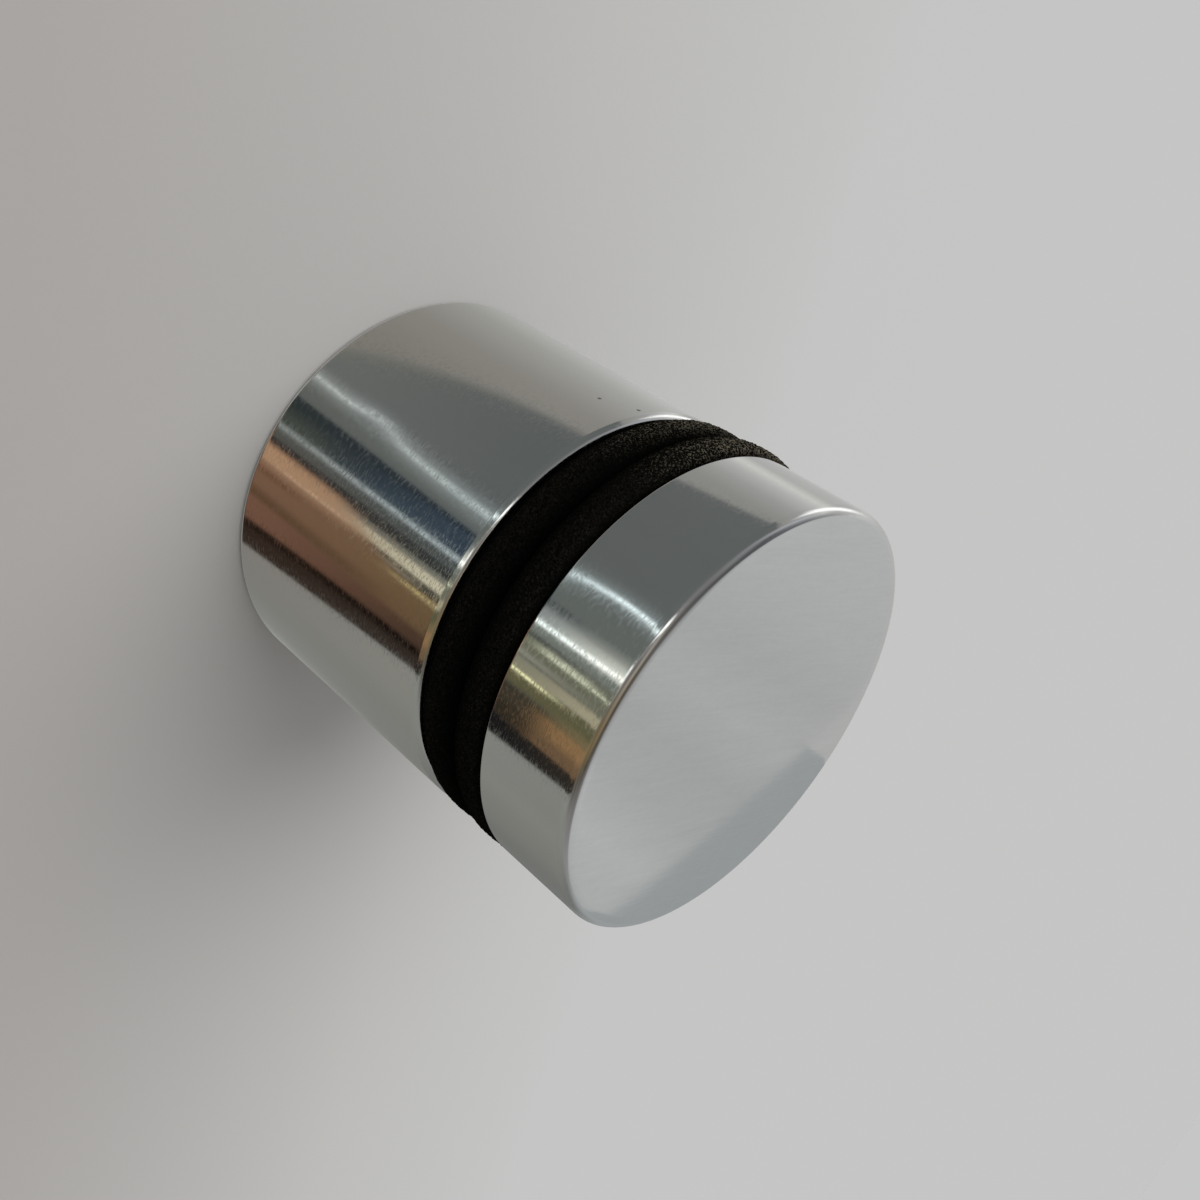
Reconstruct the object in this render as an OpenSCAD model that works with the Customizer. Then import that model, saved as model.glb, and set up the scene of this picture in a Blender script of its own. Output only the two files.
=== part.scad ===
// Glass panel standoff: a turned barrel that is screwed to a wall, and a turned cap on a stud that
// clamps a panel between two sponge gaskets.
// Millimetres. The axis is Z: the barrel's wall face lies on Z = 0 and the cap faces +Z.

/* [Barrel and cap] */
// Diameter of the barrel and of the cap
body_d = 50; // [40:0.5:70]
// Length of the barrel, from the wall to the gasket
barrel_l = 33.5; // [33:0.5:80]
// Radius of the barrel's edge at the wall
barrel_wall_edge_r = 0.8; // [0.2:0.1:2]
// Radius of the barrel's edge at the gasket
barrel_gasket_edge_r = 0.85; // [0.2:0.05:1.5]
// Thickness of the cap
cap_t = 11.8; // [11:0.1:20]
// Radius of the cap's edge at the gasket, which is only broken
cap_gasket_edge_r = 0.2; // [0.1:0.05:1]
// Radius of the edge round the cap's polished face
cap_face_edge_r = 0.95; // [0.2:0.05:2]

/* [Gaskets] */
// Thickness of each gasket with the standoff closed
gasket_t = 5; // [4:0.1:6]
// How far the gaskets stand out past the metal
gasket_proud = 0.3; // [0:0.05:1]
// Radius of a gasket's edge against the metal
gasket_metal_edge_r = 2; // [0.5:0.1:2.4]
// Radius of a gasket's edge against the panel
gasket_panel_edge_r = 2; // [0.5:0.1:2.4]
// Gap all round between the sleeve and the hole in each gasket
gasket_bore_gap = 0.8; // [0.4:0.1:2]

/* [Sleeve] */
// Wall of the sleeve, which passes through the panel
sleeve_wall = 1.65; // [1.2:0.05:3]
// Gap all round between the stud and the sleeve
sleeve_bore_gap = 0.35; // [0.3:0.05:0.6]
// Gap between the sleeve's end and the cap with the standoff closed
sleeve_end_gap = 0.5; // [0.3:0.1:0.9]
// Bevel on the sleeve's two outer edges
sleeve_bevel = 0.4; // [0.1:0.1:0.8]

/* [Thread] */
// Nominal diameter of the one thread used for the cap, the stud and the wall
thread_d = 10; // [8:0.5:11]
// Pitch of that thread
thread_pitch = 1.5; // [1:0.25:1.75]
// Gap all round between a male and a female thread
thread_gap = 0.05; // [0.02:0.01:0.08]
// Countersink at the mouth of each tapped hole, measured down the hole
countersink = 0.6; // [0.2:0.1:1]
// Full thread in the cap
cap_thread_l = 7; // [5:0.5:7.5]
// Full thread in the barrel's wall end
wall_thread_l = 12; // [8:0.5:13]
// Thread left free below the stud in the barrel
stud_end_room = 1.5; // [0.5:0.1:2.5]

/* [Stud] */
// Length of the stud
stud_l = 35; // [28:0.5:36]
// Width across the flats of the hexagon socket in the stud's free end
socket_af = 5; // [4:0.5:6]
// Depth of that socket
socket_depth = 5; // [3:0.5:8]

/* [Hidden] */
$fn = 128;

metal_grey = [0.80, 0.81, 0.82];
sponge_black = [0.07, 0.065, 0.06];
nylon_white = [0.93, 0.92, 0.87];
zinc_grey = [0.62, 0.64, 0.66];

// A cutter runs this far past the face that it cuts.
past = 1;
// The drill's point is a cone of 118 degrees.
drill_point_slope = tan(90 - 118 / 2);

body_r = body_d / 2;
gasket_r = body_r + gasket_proud;
stud_r = thread_d / 2;
tapped_r = stud_r + thread_gap;
tap_drill_r = (thread_d - thread_pitch) / 2;
sleeve_bore_r = stud_r + sleeve_bore_gap;
sleeve_r = sleeve_bore_r + sleeve_wall;
gasket_bore_r = sleeve_r + gasket_bore_gap;
// A stud's end is bevelled down to the root of its thread.
stud_bevel = 0.6134 * thread_pitch;

// Heights up the axis
panel_z = barrel_l + gasket_t;
cap_z = panel_z + gasket_t;
stud_top_z = cap_z + cap_thread_l;
stud_z = stud_top_z - stud_l;
sleeve_l = cap_z - barrel_l - sleeve_end_gap;
barrel_thread_l = barrel_l - stud_z + stud_end_room;

// Solid disc from Z = 0 up to height, with its lower and upper edges rounded.
module round_edged_disc(radius, height, lower_edge_r, upper_edge_r) {
    rotate_extrude()
        difference() {
            square([radius, height]);
            translate([radius - lower_edge_r, lower_edge_r])
                mirror([0, 1])
                    edge_waste(lower_edge_r);
            translate([radius - upper_edge_r, height - upper_edge_r])
                edge_waste(upper_edge_r);
        }
}

// What is turned away outside an edge of this radius. The arc's centre is the origin.
module edge_waste(edge_r) {
    difference() {
        square(edge_r + past);
        circle(edge_r);
    }
}

// Cutter for a tapped hole that opens at Z = 0 and runs up to a drill point.
module tapped_hole(thread_l) {
    rotate_extrude()
        polygon([
            [0, -past],
            [tapped_r + countersink + past, -past],
            [tapped_r, countersink],
            [tapped_r, thread_l],
            [0, thread_l + tapped_r * drill_point_slope]
        ]);
}

// A gasket lies from Z = 0 up to gasket_t.
module gasket_ring(lower_edge_r, upper_edge_r) {
    difference() {
        round_edged_disc(gasket_r, gasket_t, lower_edge_r, upper_edge_r);
        translate([0, 0, -past])
            cylinder(h = gasket_t + 2 * past, r = gasket_bore_r);
    }
}

// The wall spacer: drilled right through and tapped from both ends.
module barrel() {
    color(metal_grey)
        difference() {
            round_edged_disc(body_r, barrel_l, barrel_wall_edge_r, barrel_gasket_edge_r);
            tapped_hole(wall_thread_l);
            translate([0, 0, barrel_l])
                mirror([0, 0, 1])
                    tapped_hole(barrel_thread_l);
            translate([0, 0, -past])
                cylinder(h = barrel_l + 2 * past, r = tap_drill_r);
        }
}

// Sponge ring behind the panel.
module rear_gasket() {
    color(sponge_black)
        translate([0, 0, barrel_l])
            gasket_ring(gasket_metal_edge_r, gasket_panel_edge_r);
}

// Sponge ring in front of the panel.
module front_gasket() {
    color(sponge_black)
        translate([0, 0, panel_z])
            gasket_ring(gasket_panel_edge_r, gasket_metal_edge_r);
}

// Plain bush that stands on the barrel round the stud and fills the panel's hole.
module glass_sleeve() {
    color(nylon_white)
        translate([0, 0, barrel_l])
            rotate_extrude()
                polygon([
                    [sleeve_bore_r, 0],
                    [sleeve_r - sleeve_bevel, 0],
                    [sleeve_r, sleeve_bevel],
                    [sleeve_r, sleeve_l - sleeve_bevel],
                    [sleeve_r - sleeve_bevel, sleeve_l],
                    [sleeve_bore_r, sleeve_l]
                ]);
}

// Front disc with a blind tapped hole in its back.
module cap() {
    color(metal_grey)
        translate([0, 0, cap_z])
            difference() {
                round_edged_disc(body_r, cap_t, cap_gasket_edge_r, cap_face_edge_r);
                tapped_hole(cap_thread_l);
            }
}

// Threaded stud, locked into the cap, with its socket at the free end inside the barrel.
module stud() {
    socket_r = socket_af / 2 / cos(30);
    color(zinc_grey)
        translate([0, 0, stud_z])
            difference() {
                rotate_extrude()
                    polygon([
                        [0, 0],
                        [stud_r - stud_bevel, 0],
                        [stud_r, stud_bevel],
                        [stud_r, stud_l - stud_bevel],
                        [stud_r - stud_bevel, stud_l],
                        [0, stud_l]
                    ]);
                translate([0, 0, -past])
                    cylinder(h = socket_depth + past, r = socket_r, $fn = 6);
            }
}

barrel();
rear_gasket();
glass_sleeve();
front_gasket();
cap();
stud();
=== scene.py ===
"""A glass panel standoff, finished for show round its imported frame.

Every piece is turned, threaded or cut here as a stack of rings about the standoff's axis, in metres and in
the frame's own place: the barrel stands on its wall face at z = 0 and the cap faces up. The front is -Y.
"""

import logging
import math
from dataclasses import dataclass, field
from enum import Enum
from typing import Union

import bpy
import numpy as np
from mathutils import Matrix, Vector


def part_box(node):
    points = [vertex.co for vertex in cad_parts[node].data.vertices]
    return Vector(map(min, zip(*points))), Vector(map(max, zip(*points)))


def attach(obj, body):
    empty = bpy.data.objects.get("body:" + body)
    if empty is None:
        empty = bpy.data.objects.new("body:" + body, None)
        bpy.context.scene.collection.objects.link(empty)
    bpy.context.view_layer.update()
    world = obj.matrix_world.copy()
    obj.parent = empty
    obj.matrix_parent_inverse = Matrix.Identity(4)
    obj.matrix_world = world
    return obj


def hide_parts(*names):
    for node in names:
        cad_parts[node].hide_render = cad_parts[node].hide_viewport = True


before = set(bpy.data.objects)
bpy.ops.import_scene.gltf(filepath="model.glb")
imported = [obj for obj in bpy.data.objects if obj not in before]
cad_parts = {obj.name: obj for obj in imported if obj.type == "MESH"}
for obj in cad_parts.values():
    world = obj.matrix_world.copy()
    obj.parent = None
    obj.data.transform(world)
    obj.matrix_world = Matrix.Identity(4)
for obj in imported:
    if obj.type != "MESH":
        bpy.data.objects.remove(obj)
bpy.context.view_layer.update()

LOG = logging.getLogger("standoff")
MM = 0.001
# How far a drill's point, a cone of 118 degrees, rises for one unit of radius.
DRILL_SLOPE = math.tan(math.radians(90 - 118 / 2))

Number = Union[int, float]
Colour = tuple[float, float, float]
Triple = tuple[float, float, float]
Rings = Union[float, np.ndarray]


# --------------------------------------------------------------------------------------------------
# Shader graphs
# --------------------------------------------------------------------------------------------------


class Signal:
    """A number that varies over a surface: an output socket that Python's operators work on."""

    def __init__(self, graph: "Graph", socket: bpy.types.NodeSocket) -> None:
        """Wraps a socket.

        Args:
            graph: the graph that the socket's node is in.
            socket: the output that gives the number.
        """
        self.graph = graph
        self.socket = socket

    def math(self, operation: str, *others: "Feed") -> "Signal":
        """Adds a Math node.

        Args:
            operation: the node's operation.
            others: its second value, where the operation takes two.

        Returns:
            The node's result.
        """
        return self.graph.math(operation, self, *others)

    def __add__(self, other: "Feed") -> "Signal":
        """Sum."""
        return self.math("ADD", other)

    def __radd__(self, other: Number) -> "Signal":
        """Sum with a plain number first."""
        return self.math("ADD", other)

    def __sub__(self, other: "Feed") -> "Signal":
        """Difference."""
        return self.math("SUBTRACT", other)

    def __rsub__(self, other: Number) -> "Signal":
        """Difference from a plain number."""
        return self.graph.math("SUBTRACT", other, self)

    def __mul__(self, other: "Feed") -> "Signal":
        """Product."""
        return self.math("MULTIPLY", other)

    def __rmul__(self, other: Number) -> "Signal":
        """Product with a plain number first."""
        return self.math("MULTIPLY", other)

    def __neg__(self) -> "Signal":
        """The number with its sign changed."""
        return self.math("MULTIPLY", -1.0)

    def clamped(self) -> "Signal":
        """The number kept from 0 to 1."""
        return self.graph.signal(self.graph.node("ShaderNodeClamp", None, {0: self}))

    def kept(self, low: float, high: float) -> "Signal":
        """The number kept from low to high."""
        return self.math("MAXIMUM", low).math("MINIMUM", high)

    def above(self, edge: "Feed", soft: float) -> "Signal":
        """How far the number is past an edge.

        Args:
            edge: where the step is.
            soft: half the width over which it rises.

        Returns:
            0 below the edge and 1 above it, with a straight rise between.
        """
        return ((self - edge) * (0.5 / soft) + 0.5).clamped()


Feed = Union[Number, Colour, Signal, bpy.types.NodeSocket, Vector]


class Graph:
    """The node tree of a material or of the world."""

    def __init__(self, tree: bpy.types.NodeTree) -> None:
        """Empties a node tree.

        Args:
            tree: the tree to build in.
        """
        self.tree = tree
        tree.nodes.clear()

    def node(self, kind: str, settings: dict[str, object] | None = None,
             feeds: dict[str | int, Feed] | None = None) -> bpy.types.Node:
        """Adds any node.

        Args:
            kind: the node's type.
            settings: its properties, set first. A ramp's are under "stops", as (place, colour) pairs.
            feeds: what goes into its sockets, by name or number: a value, or a link.

        Returns:
            The new node.
        """
        made = self.tree.nodes.new(kind)
        for name, value in (settings or {}).items():
            if name == "stops":
                self._set_stops(made.color_ramp, value)
            else:
                setattr(made, name, value)
        for name, value in (feeds or {}).items():
            self.feed(made.inputs[name], value)
        return made

    @staticmethod
    def _set_stops(ramp: bpy.types.ColorRamp, stops: list[tuple[float, Colour]]) -> None:
        """Gives a colour ramp its stops.

        Args:
            ramp: the ramp.
            stops: (place from 0 to 1, colour) pairs.
        """
        while len(ramp.elements) < len(stops):
            ramp.elements.new(1.0)
        for element, (place, colour) in zip(ramp.elements, stops):
            element.position = place
            element.color = (*colour, 1.0)

    def feed(self, socket: bpy.types.NodeSocket, value: Feed) -> None:
        """Sets a socket, or links to it.

        Args:
            socket: the input.
            value: a plain value, a signal or another node's output.
        """
        if isinstance(value, Signal):
            self.tree.links.new(value.socket, socket)
        elif isinstance(value, bpy.types.NodeSocket):
            self.tree.links.new(value, socket)
        elif isinstance(value, tuple) and socket.type == "RGBA":
            socket.default_value = (*value, 1.0)
        else:
            socket.default_value = value

    def math(self, operation: str, *values: Feed) -> Signal:
        """Adds a Math node.

        Args:
            operation: the node's operation.
            values: its values, in order.

        Returns:
            The node's result.
        """
        return self.signal(self.node("ShaderNodeMath", {"operation": operation}, dict(enumerate(values))))

    def signal(self, node: bpy.types.Node, output: str | int = 0) -> Signal:
        """One of a node's outputs, to do sums with."""
        return Signal(self, node.outputs[output])

    def mix(self, share: Feed, first: Feed, second: Feed, blend: str = "MIX") -> bpy.types.NodeSocket:
        """Mixes two colours.

        Args:
            share: how much of the second, from 0 to 1.
            first: a colour.
            second: another colour.
            blend: how they mix.

        Returns:
            The mixed colour's socket.
        """
        settings = {"data_type": "RGBA", "blend_type": blend, "clamp_factor": True}
        return self.node("ShaderNodeMix", settings, {0: share, 6: first, 7: second}).outputs[2]

    def shaded(self, colour: Feed, shade: Signal) -> bpy.types.NodeSocket:
        """A colour made darker or paler by a number."""
        return self.mix(1.0, colour, self.combined(shade, shade, shade), "MULTIPLY")

    def ramp(self, place: Signal, stops: list[tuple[float, Colour]]) -> bpy.types.NodeSocket:
        """Looks a colour up along a ramp.

        Args:
            place: where on the ramp, from 0 to 1.
            stops: (place, colour) pairs, in order.

        Returns:
            The colour's socket.
        """
        return self.node("ShaderNodeValToRGB", {"stops": stops}, {0: place}).outputs[0]

    def vector(self, operation: str, *values: Feed) -> bpy.types.NodeSocket:
        """Adds a Vector Math node and gives its vector."""
        node = self.node("ShaderNodeVectorMath", {"operation": operation}, dict(enumerate(values)))
        return node.outputs[0]

    def combined(self, x: Feed, y: Feed, z: Feed) -> bpy.types.NodeSocket:
        """A vector from its three numbers."""
        return self.node("ShaderNodeCombineXYZ", None, {0: x, 1: y, 2: z}).outputs[0]

    def split(self, vector: bpy.types.NodeSocket) -> tuple[Signal, Signal, Signal]:
        """The three numbers of a vector."""
        node = self.node("ShaderNodeSeparateXYZ", None, {0: vector})
        return self.signal(node, 0), self.signal(node, 1), self.signal(node, 2)

    def place(self) -> bpy.types.NodeSocket:
        """The place on the piece, in metres."""
        return self.node("ShaderNodeTexCoord").outputs["Object"]

    def stretched(self, vector: bpy.types.NodeSocket, scale: Triple) -> bpy.types.NodeSocket:
        """A place whose three numbers are each multiplied by their own."""
        return self.vector("MULTIPLY", vector, Vector(scale))

    def relief(self, height: Signal, strength: float = 1.0) -> bpy.types.NodeSocket:
        """The normal of a surface whose relief has this height, in metres."""
        feeds = {"Strength": strength, "Distance": 1.0, "Height": height}
        return self.node("ShaderNodeBump", None, feeds).outputs[0]

    def noise(self, place: bpy.types.NodeSocket, scale: float, detail: float = 2.0,
              roughness: float = 0.5) -> Signal:
        """Smooth noise from 0 to 1.

        Args:
            place: where to look it up.
            scale: how many lumps to a unit.
            detail: how many finer layers are added.
            roughness: how strong those are.

        Returns:
            The noise, about 0.5 on average.
        """
        node = self.node("ShaderNodeTexNoise", {"noise_dimensions": "3D"},
                         {"Vector": place, "Scale": scale, "Detail": detail, "Roughness": roughness})
        return self.signal(node, 0)

    def cells(self, place: bpy.types.NodeSocket, scale: float) -> Signal:
        """The distance to the middle of the nearest cell, for pores, with this many cells to a unit."""
        node = self.node("ShaderNodeTexVoronoi", {"feature": "F1"}, {"Vector": place, "Scale": scale})
        return self.signal(node, "Distance")


def from_axis(x: Signal, y: Signal) -> Signal:
    """The distance of a place from the Z axis."""
    return (x * x + y * y).math("SQRT")


# --------------------------------------------------------------------------------------------------
# Finishes
# --------------------------------------------------------------------------------------------------


class Slot(Enum):
    """The record's material slots."""

    METAL = "polished_metal"
    SPONGE = "sponge_rubber"
    NYLON = "nylon"
    ZINC = "zinc_plated_steel"


class Finish:
    """A surface finish, which makes one material the first time it is asked for."""

    name: str

    def material(self) -> bpy.types.Material:
        """Makes the finish's material, or finds it.

        Returns:
            The one material of this finish.
        """
        made = bpy.data.materials.get(self.name)
        if made is None:
            made = bpy.data.materials.new(self.name)
            made.use_nodes = True
            graph = Graph(made.node_tree)
            graph.node("ShaderNodeOutputMaterial", None, {"Surface": self.shade(graph).outputs[0]})
        return made

    def shade(self, graph: Graph) -> bpy.types.Node:
        """Builds the finish's shader.

        Args:
            graph: the material's empty graph.

        Returns:
            The shader node that the surface shows.
        """
        raise NotImplementedError


@dataclass(frozen=True)
class Nick:
    """A small dark nick in the metal: degrees round from the front, its height and its radius."""

    turn: float
    height: float
    radius: float
    # How much of its radius its edge fades over, to either side.
    fade: float = 0.4

    def darkness(self, graph: Graph, place: bpy.types.NodeSocket, body_radius: float) -> Signal:
        """How much of the nick there is at a place, from 0 to 1.

        Args:
            graph: the material's graph.
            place: the place on the piece.
            body_radius: the radius of the metal that it is in.

        Returns:
            1 in the nick and 0 outside it.
        """
        turn = math.radians(self.turn)
        centre = Vector((body_radius * math.sin(turn), -body_radius * math.cos(turn), self.height))
        node = graph.node("ShaderNodeVectorMath", {"operation": "DISTANCE"}, {0: place, 1: centre})
        return 1.0 - graph.signal(node, "Value").above(self.radius, self.radius * self.fade)


@dataclass(frozen=True)
class TurnedMirror(Finish):
    """Bar turned and buffed to a mirror, faintly wavy, with short fibres round it where the buff dragged."""

    name: str = "turned_mirror"
    colour: Colour = (0.90, 0.905, 0.91)
    nick_colour: Colour = (0.22, 0.21, 0.20)
    roughness: float = 0.06
    smear_roughness: float = 0.05
    smear_level: float = 0.45
    # How much rougher a scratch is, the level of fibre noise above which there is one, and its softness.
    scratch_roughness: float = 0.12
    scratch_level: float = 0.56
    scratch_soft: float = 0.09
    # How many waves, smears and fibres there are to a metre. The first two are drawn out along the bar.
    waves: float = 110.0
    smears: float = 70.0
    drawn_out: Triple = (1.0, 1.0, 0.35)
    fibres: Triple = (1900.0, 1900.0, 7200.0)
    # How deep each layer of relief is, in metres.
    wave_depth: float = 7e-6
    fibre_depth: float = 0.9e-6
    radius: float = 25 * MM
    nicks: tuple[Nick, ...] = ()

    def shade(self, graph: Graph) -> bpy.types.Node:
        """Builds the shader, whose fibres run round the axis.

        Args:
            graph: the material's empty graph.

        Returns:
            The shader node.
        """
        place = graph.place()
        lengthwise = graph.stretched(place, self.drawn_out)
        wave = graph.noise(lengthwise, self.waves, 1.0)
        fibres = graph.noise(graph.stretched(place, self.fibres), 1.0, 1.0)
        smear = graph.noise(lengthwise, self.smears, 3.0, 0.6)
        height = wave * self.wave_depth + fibres * self.fibre_depth
        rough = self.roughness + self.smear_roughness * (smear - self.smear_level).kept(0.0, 1.0)
        rough = rough + fibres.above(self.scratch_level, self.scratch_soft) * self.scratch_roughness
        tint: Feed = self.colour
        for nick in self.nicks:
            tint = graph.mix(nick.darkness(graph, place, self.radius), tint, self.nick_colour)
        return graph.node("ShaderNodeBsdfPrincipled", None, {
            "Base Color": tint,
            "Metallic": 1.0,
            "Roughness": rough,
            "Normal": graph.relief(height),
        })


@dataclass(frozen=True)
class FacedMirror(Finish):
    """A flat end buffed across in one direction, which leaves faint straight lines and a soft mottle."""

    name: str = "faced_mirror"
    colour: Colour = (0.90, 0.905, 0.91)
    roughness: float = 0.04
    # How much rougher the bands are, and the level of their noise from which they are.
    band_roughness: float = 0.08
    band_level: float = 0.4
    # Which way the lines run, in degrees from +X, and how many lines, bands and spots there are to a metre.
    line_angle: float = 111.0
    lines: Triple = (260.0, 3000.0, 260.0)
    bands: Triple = (90.0, 520.0, 90.0)
    spots: float = 1100.0
    line_depth: float = 0.6e-6
    # How much darker the mottle gets, the level it starts from, and what lines, bands and spots add to it.
    mottle: float = 0.18
    mottle_level: float = 0.3
    mottle_shares: Triple = (0.4, 0.35, 0.25)

    def shade(self, graph: Graph) -> bpy.types.Node:
        """Builds the shader, whose lines run straight across the face.

        Args:
            graph: the material's empty graph.

        Returns:
            The shader node.
        """
        place = graph.place()
        turned = graph.node("ShaderNodeVectorRotate", {"rotation_type": "Z_AXIS"},
                            {"Vector": place, "Angle": -math.radians(self.line_angle)}).outputs[0]
        lines = graph.noise(graph.stretched(turned, self.lines), 1.0, 2.0, 0.6)
        bands = graph.noise(graph.stretched(turned, self.bands), 1.0, 2.0)
        spots = graph.noise(place, self.spots, 2.0, 0.6)
        line_share, band_share, spot_share = self.mottle_shares
        dark = lines * line_share + bands * band_share + spots * spot_share - self.mottle_level
        return graph.node("ShaderNodeBsdfPrincipled", None, {
            "Base Color": graph.shaded(self.colour, 1.0 - self.mottle * dark.kept(0.0, 1.0)),
            "Metallic": 1.0,
            "Roughness": self.roughness + self.band_roughness * (bands - self.band_level).kept(0.0, 1.0),
            "Normal": graph.relief(lines * self.line_depth),
        })


@dataclass(frozen=True)
class TurnedBright(Finish):
    """Metal as it leaves the lathe, with fine rings that catch the light. Bores and hidden ends have it."""

    name: str = "turned_bright"
    colour: Colour = (0.74, 0.745, 0.75)
    roughness: float = 0.28
    ring_roughness: float = 0.12
    rings_to_a_metre: float = 5200.0
    ring_depth: float = 3e-6

    def shade(self, graph: Graph) -> bpy.types.Node:
        """Builds the shader, whose rings go round the axis at every radius and height.

        Args:
            graph: the material's empty graph.

        Returns:
            The shader node.
        """
        x, y, z = graph.split(graph.place())
        count = self.rings_to_a_metre
        rings = graph.noise(graph.combined(from_axis(x, y) * count, z * count, 0.0), 1.0, 2.0, 0.6)
        return graph.node("ShaderNodeBsdfPrincipled", None, {
            "Base Color": self.colour,
            "Metallic": 1.0,
            "Roughness": self.roughness + self.ring_roughness * (rings - 0.5),
            "Normal": graph.relief(rings * self.ring_depth),
        })


@dataclass(frozen=True)
class SpongeRubber(Finish):
    """Black open-cell sponge: paler pore rims, dust in the cut cells, painted light on the -X side, painted
    shade in the groove.
    """

    name: str = "cut_sponge"
    pit: Colour = (0.0010, 0.0010, 0.0010)
    rim: Colour = (0.012, 0.011, 0.009)
    # The specks' colour: dust, and on the -X side painted light.
    dust_and_light: Colour = (0.17, 0.155, 0.115)
    pores_to_a_metre: float = 4600.0
    lumps_to_a_metre: float = 1500.0
    pore_depth: float = 1.3e-4
    # How far out the flat faces are mostly spared the painted shade, of the radius, and the softness of that
    # edge.
    face_reach: float = 0.87
    face_soft: float = 0.04
    face_unshaded: float = 0.9
    # How many specks show as painted light on the outside's -X side, and how much dust the faces and every
    # place hold.
    lit_side_specks: float = 0.85
    face_dust: float = 0.15
    least_dust: float = 0.06
    # Where the outside is clear of painted shade, of the thickness from the seam, each with its softness.
    unshaded_from: tuple[float, float] = (0.30, 0.20)
    unshaded_to: tuple[float, float] = (0.86, 0.10)
    # The level of noise above which a cell holds a speck, how far it falls on the painted lit side, and its
    # softness.
    speck_level: float = 0.64
    speck_fall: float = 0.12
    speck_soft: float = 0.03
    # The outside radius, the height of the seam between the gaskets, and of each gasket.
    radius: float = 25 * MM
    seam: float = 38.5 * MM
    thickness: float = 5 * MM

    def shade(self, graph: Graph) -> bpy.types.Node:
        """Builds the shader from two sizes of pore.

        Args:
            graph: the material's empty graph.

        Returns:
            The shader node.
        """
        place = graph.place()
        x, y, z = graph.split(place)
        lumps = graph.noise(place, self.lumps_to_a_metre, 3.0, 0.6)
        # A pore's rim stands where it is far from the middle of its cell.
        fine = (graph.cells(place, self.pores_to_a_metre) * 1.3 - 0.25).clamped()
        coarse = (graph.cells(place, self.pores_to_a_metre * 0.5) * 1.1 - 0.25).clamped()
        rim = fine * 0.65 + coarse * 0.35
        # Painted light: the -X side, from half the radius out, is paler and more specked, as if the lamp lit
        # it.
        lit_side = (x * (-2.0 / self.radius) - 1.0).clamped()
        # Painted shade blackens the groove between the two outsides and the sponge by the metal, but not the
        # flat faces.
        inner = 1.0 - from_axis(x, y).above(self.radius * self.face_reach, self.radius * self.face_soft)
        from_seam = (z - self.seam).math("ABSOLUTE") * (1.0 / self.thickness)
        unshaded = from_seam.above(*self.unshaded_from) * (1.0 - from_seam.above(*self.unshaded_to))
        unshaded = unshaded.math("MAXIMUM", inner * self.face_unshaded)
        # Painted light and shade set how many specks show: most on the lit -X side, hardly any in the shaded
        # groove.
        specks = graph.noise(place, self.pores_to_a_metre, 1.0, 0.6)
        specks = specks.above(self.speck_level - lit_side * self.speck_fall, self.speck_soft)
        dust_light_and_shade = lit_side * (1.0 - inner) * self.lit_side_specks + inner * self.face_dust + self.least_dust
        dust_light_and_shade = unshaded * dust_light_and_shade * (lumps * 1.2 + 0.3).clamped()
        # The painted shade darkens the pore rims too.
        tone = graph.mix(rim * (unshaded * 0.75 + 0.25), self.pit, self.rim)
        return graph.node("ShaderNodeBsdfPrincipled", None, {
            "Base Color": graph.mix(specks * dust_light_and_shade, tone, self.dust_and_light),
            "Roughness": 0.86 + 0.12 * lumps,
            "Specular IOR Level": 0.0,
            "Normal": graph.relief((rim + lumps * 0.6) * self.pore_depth),
        })


@dataclass(frozen=True)
class MouldedNylon(Finish):
    """Natural nylon, waxy and slightly uneven, with fine marks from the cut."""

    name: str = "moulded_nylon"
    pale: Colour = (0.80, 0.78, 0.70)
    yellowed: Colour = (0.70, 0.66, 0.54)
    clouds_to_a_metre: float = 260.0
    cut_marks: Triple = (300.0, 300.0, 5000.0)
    mark_depth: float = 4e-6
    glow: float = 0.25
    glow_depth: float = 2 * MM

    def shade(self, graph: Graph) -> bpy.types.Node:
        """Builds the shader, whose light sinks in a little and comes out again.

        Args:
            graph: the material's empty graph.

        Returns:
            The shader node.
        """
        place = graph.place()
        cloud = graph.noise(place, self.clouds_to_a_metre, 3.0, 0.6)
        marks = graph.noise(graph.stretched(place, self.cut_marks), 1.0, 2.0, 0.6)
        return graph.node("ShaderNodeBsdfPrincipled", None, {
            "Base Color": graph.mix(cloud, self.pale, self.yellowed),
            "Roughness": 0.36 + 0.2 * cloud,
            "Subsurface Weight": self.glow,
            "Subsurface Scale": self.glow_depth,
            "Normal": graph.relief(marks * self.mark_depth),
        })


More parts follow.
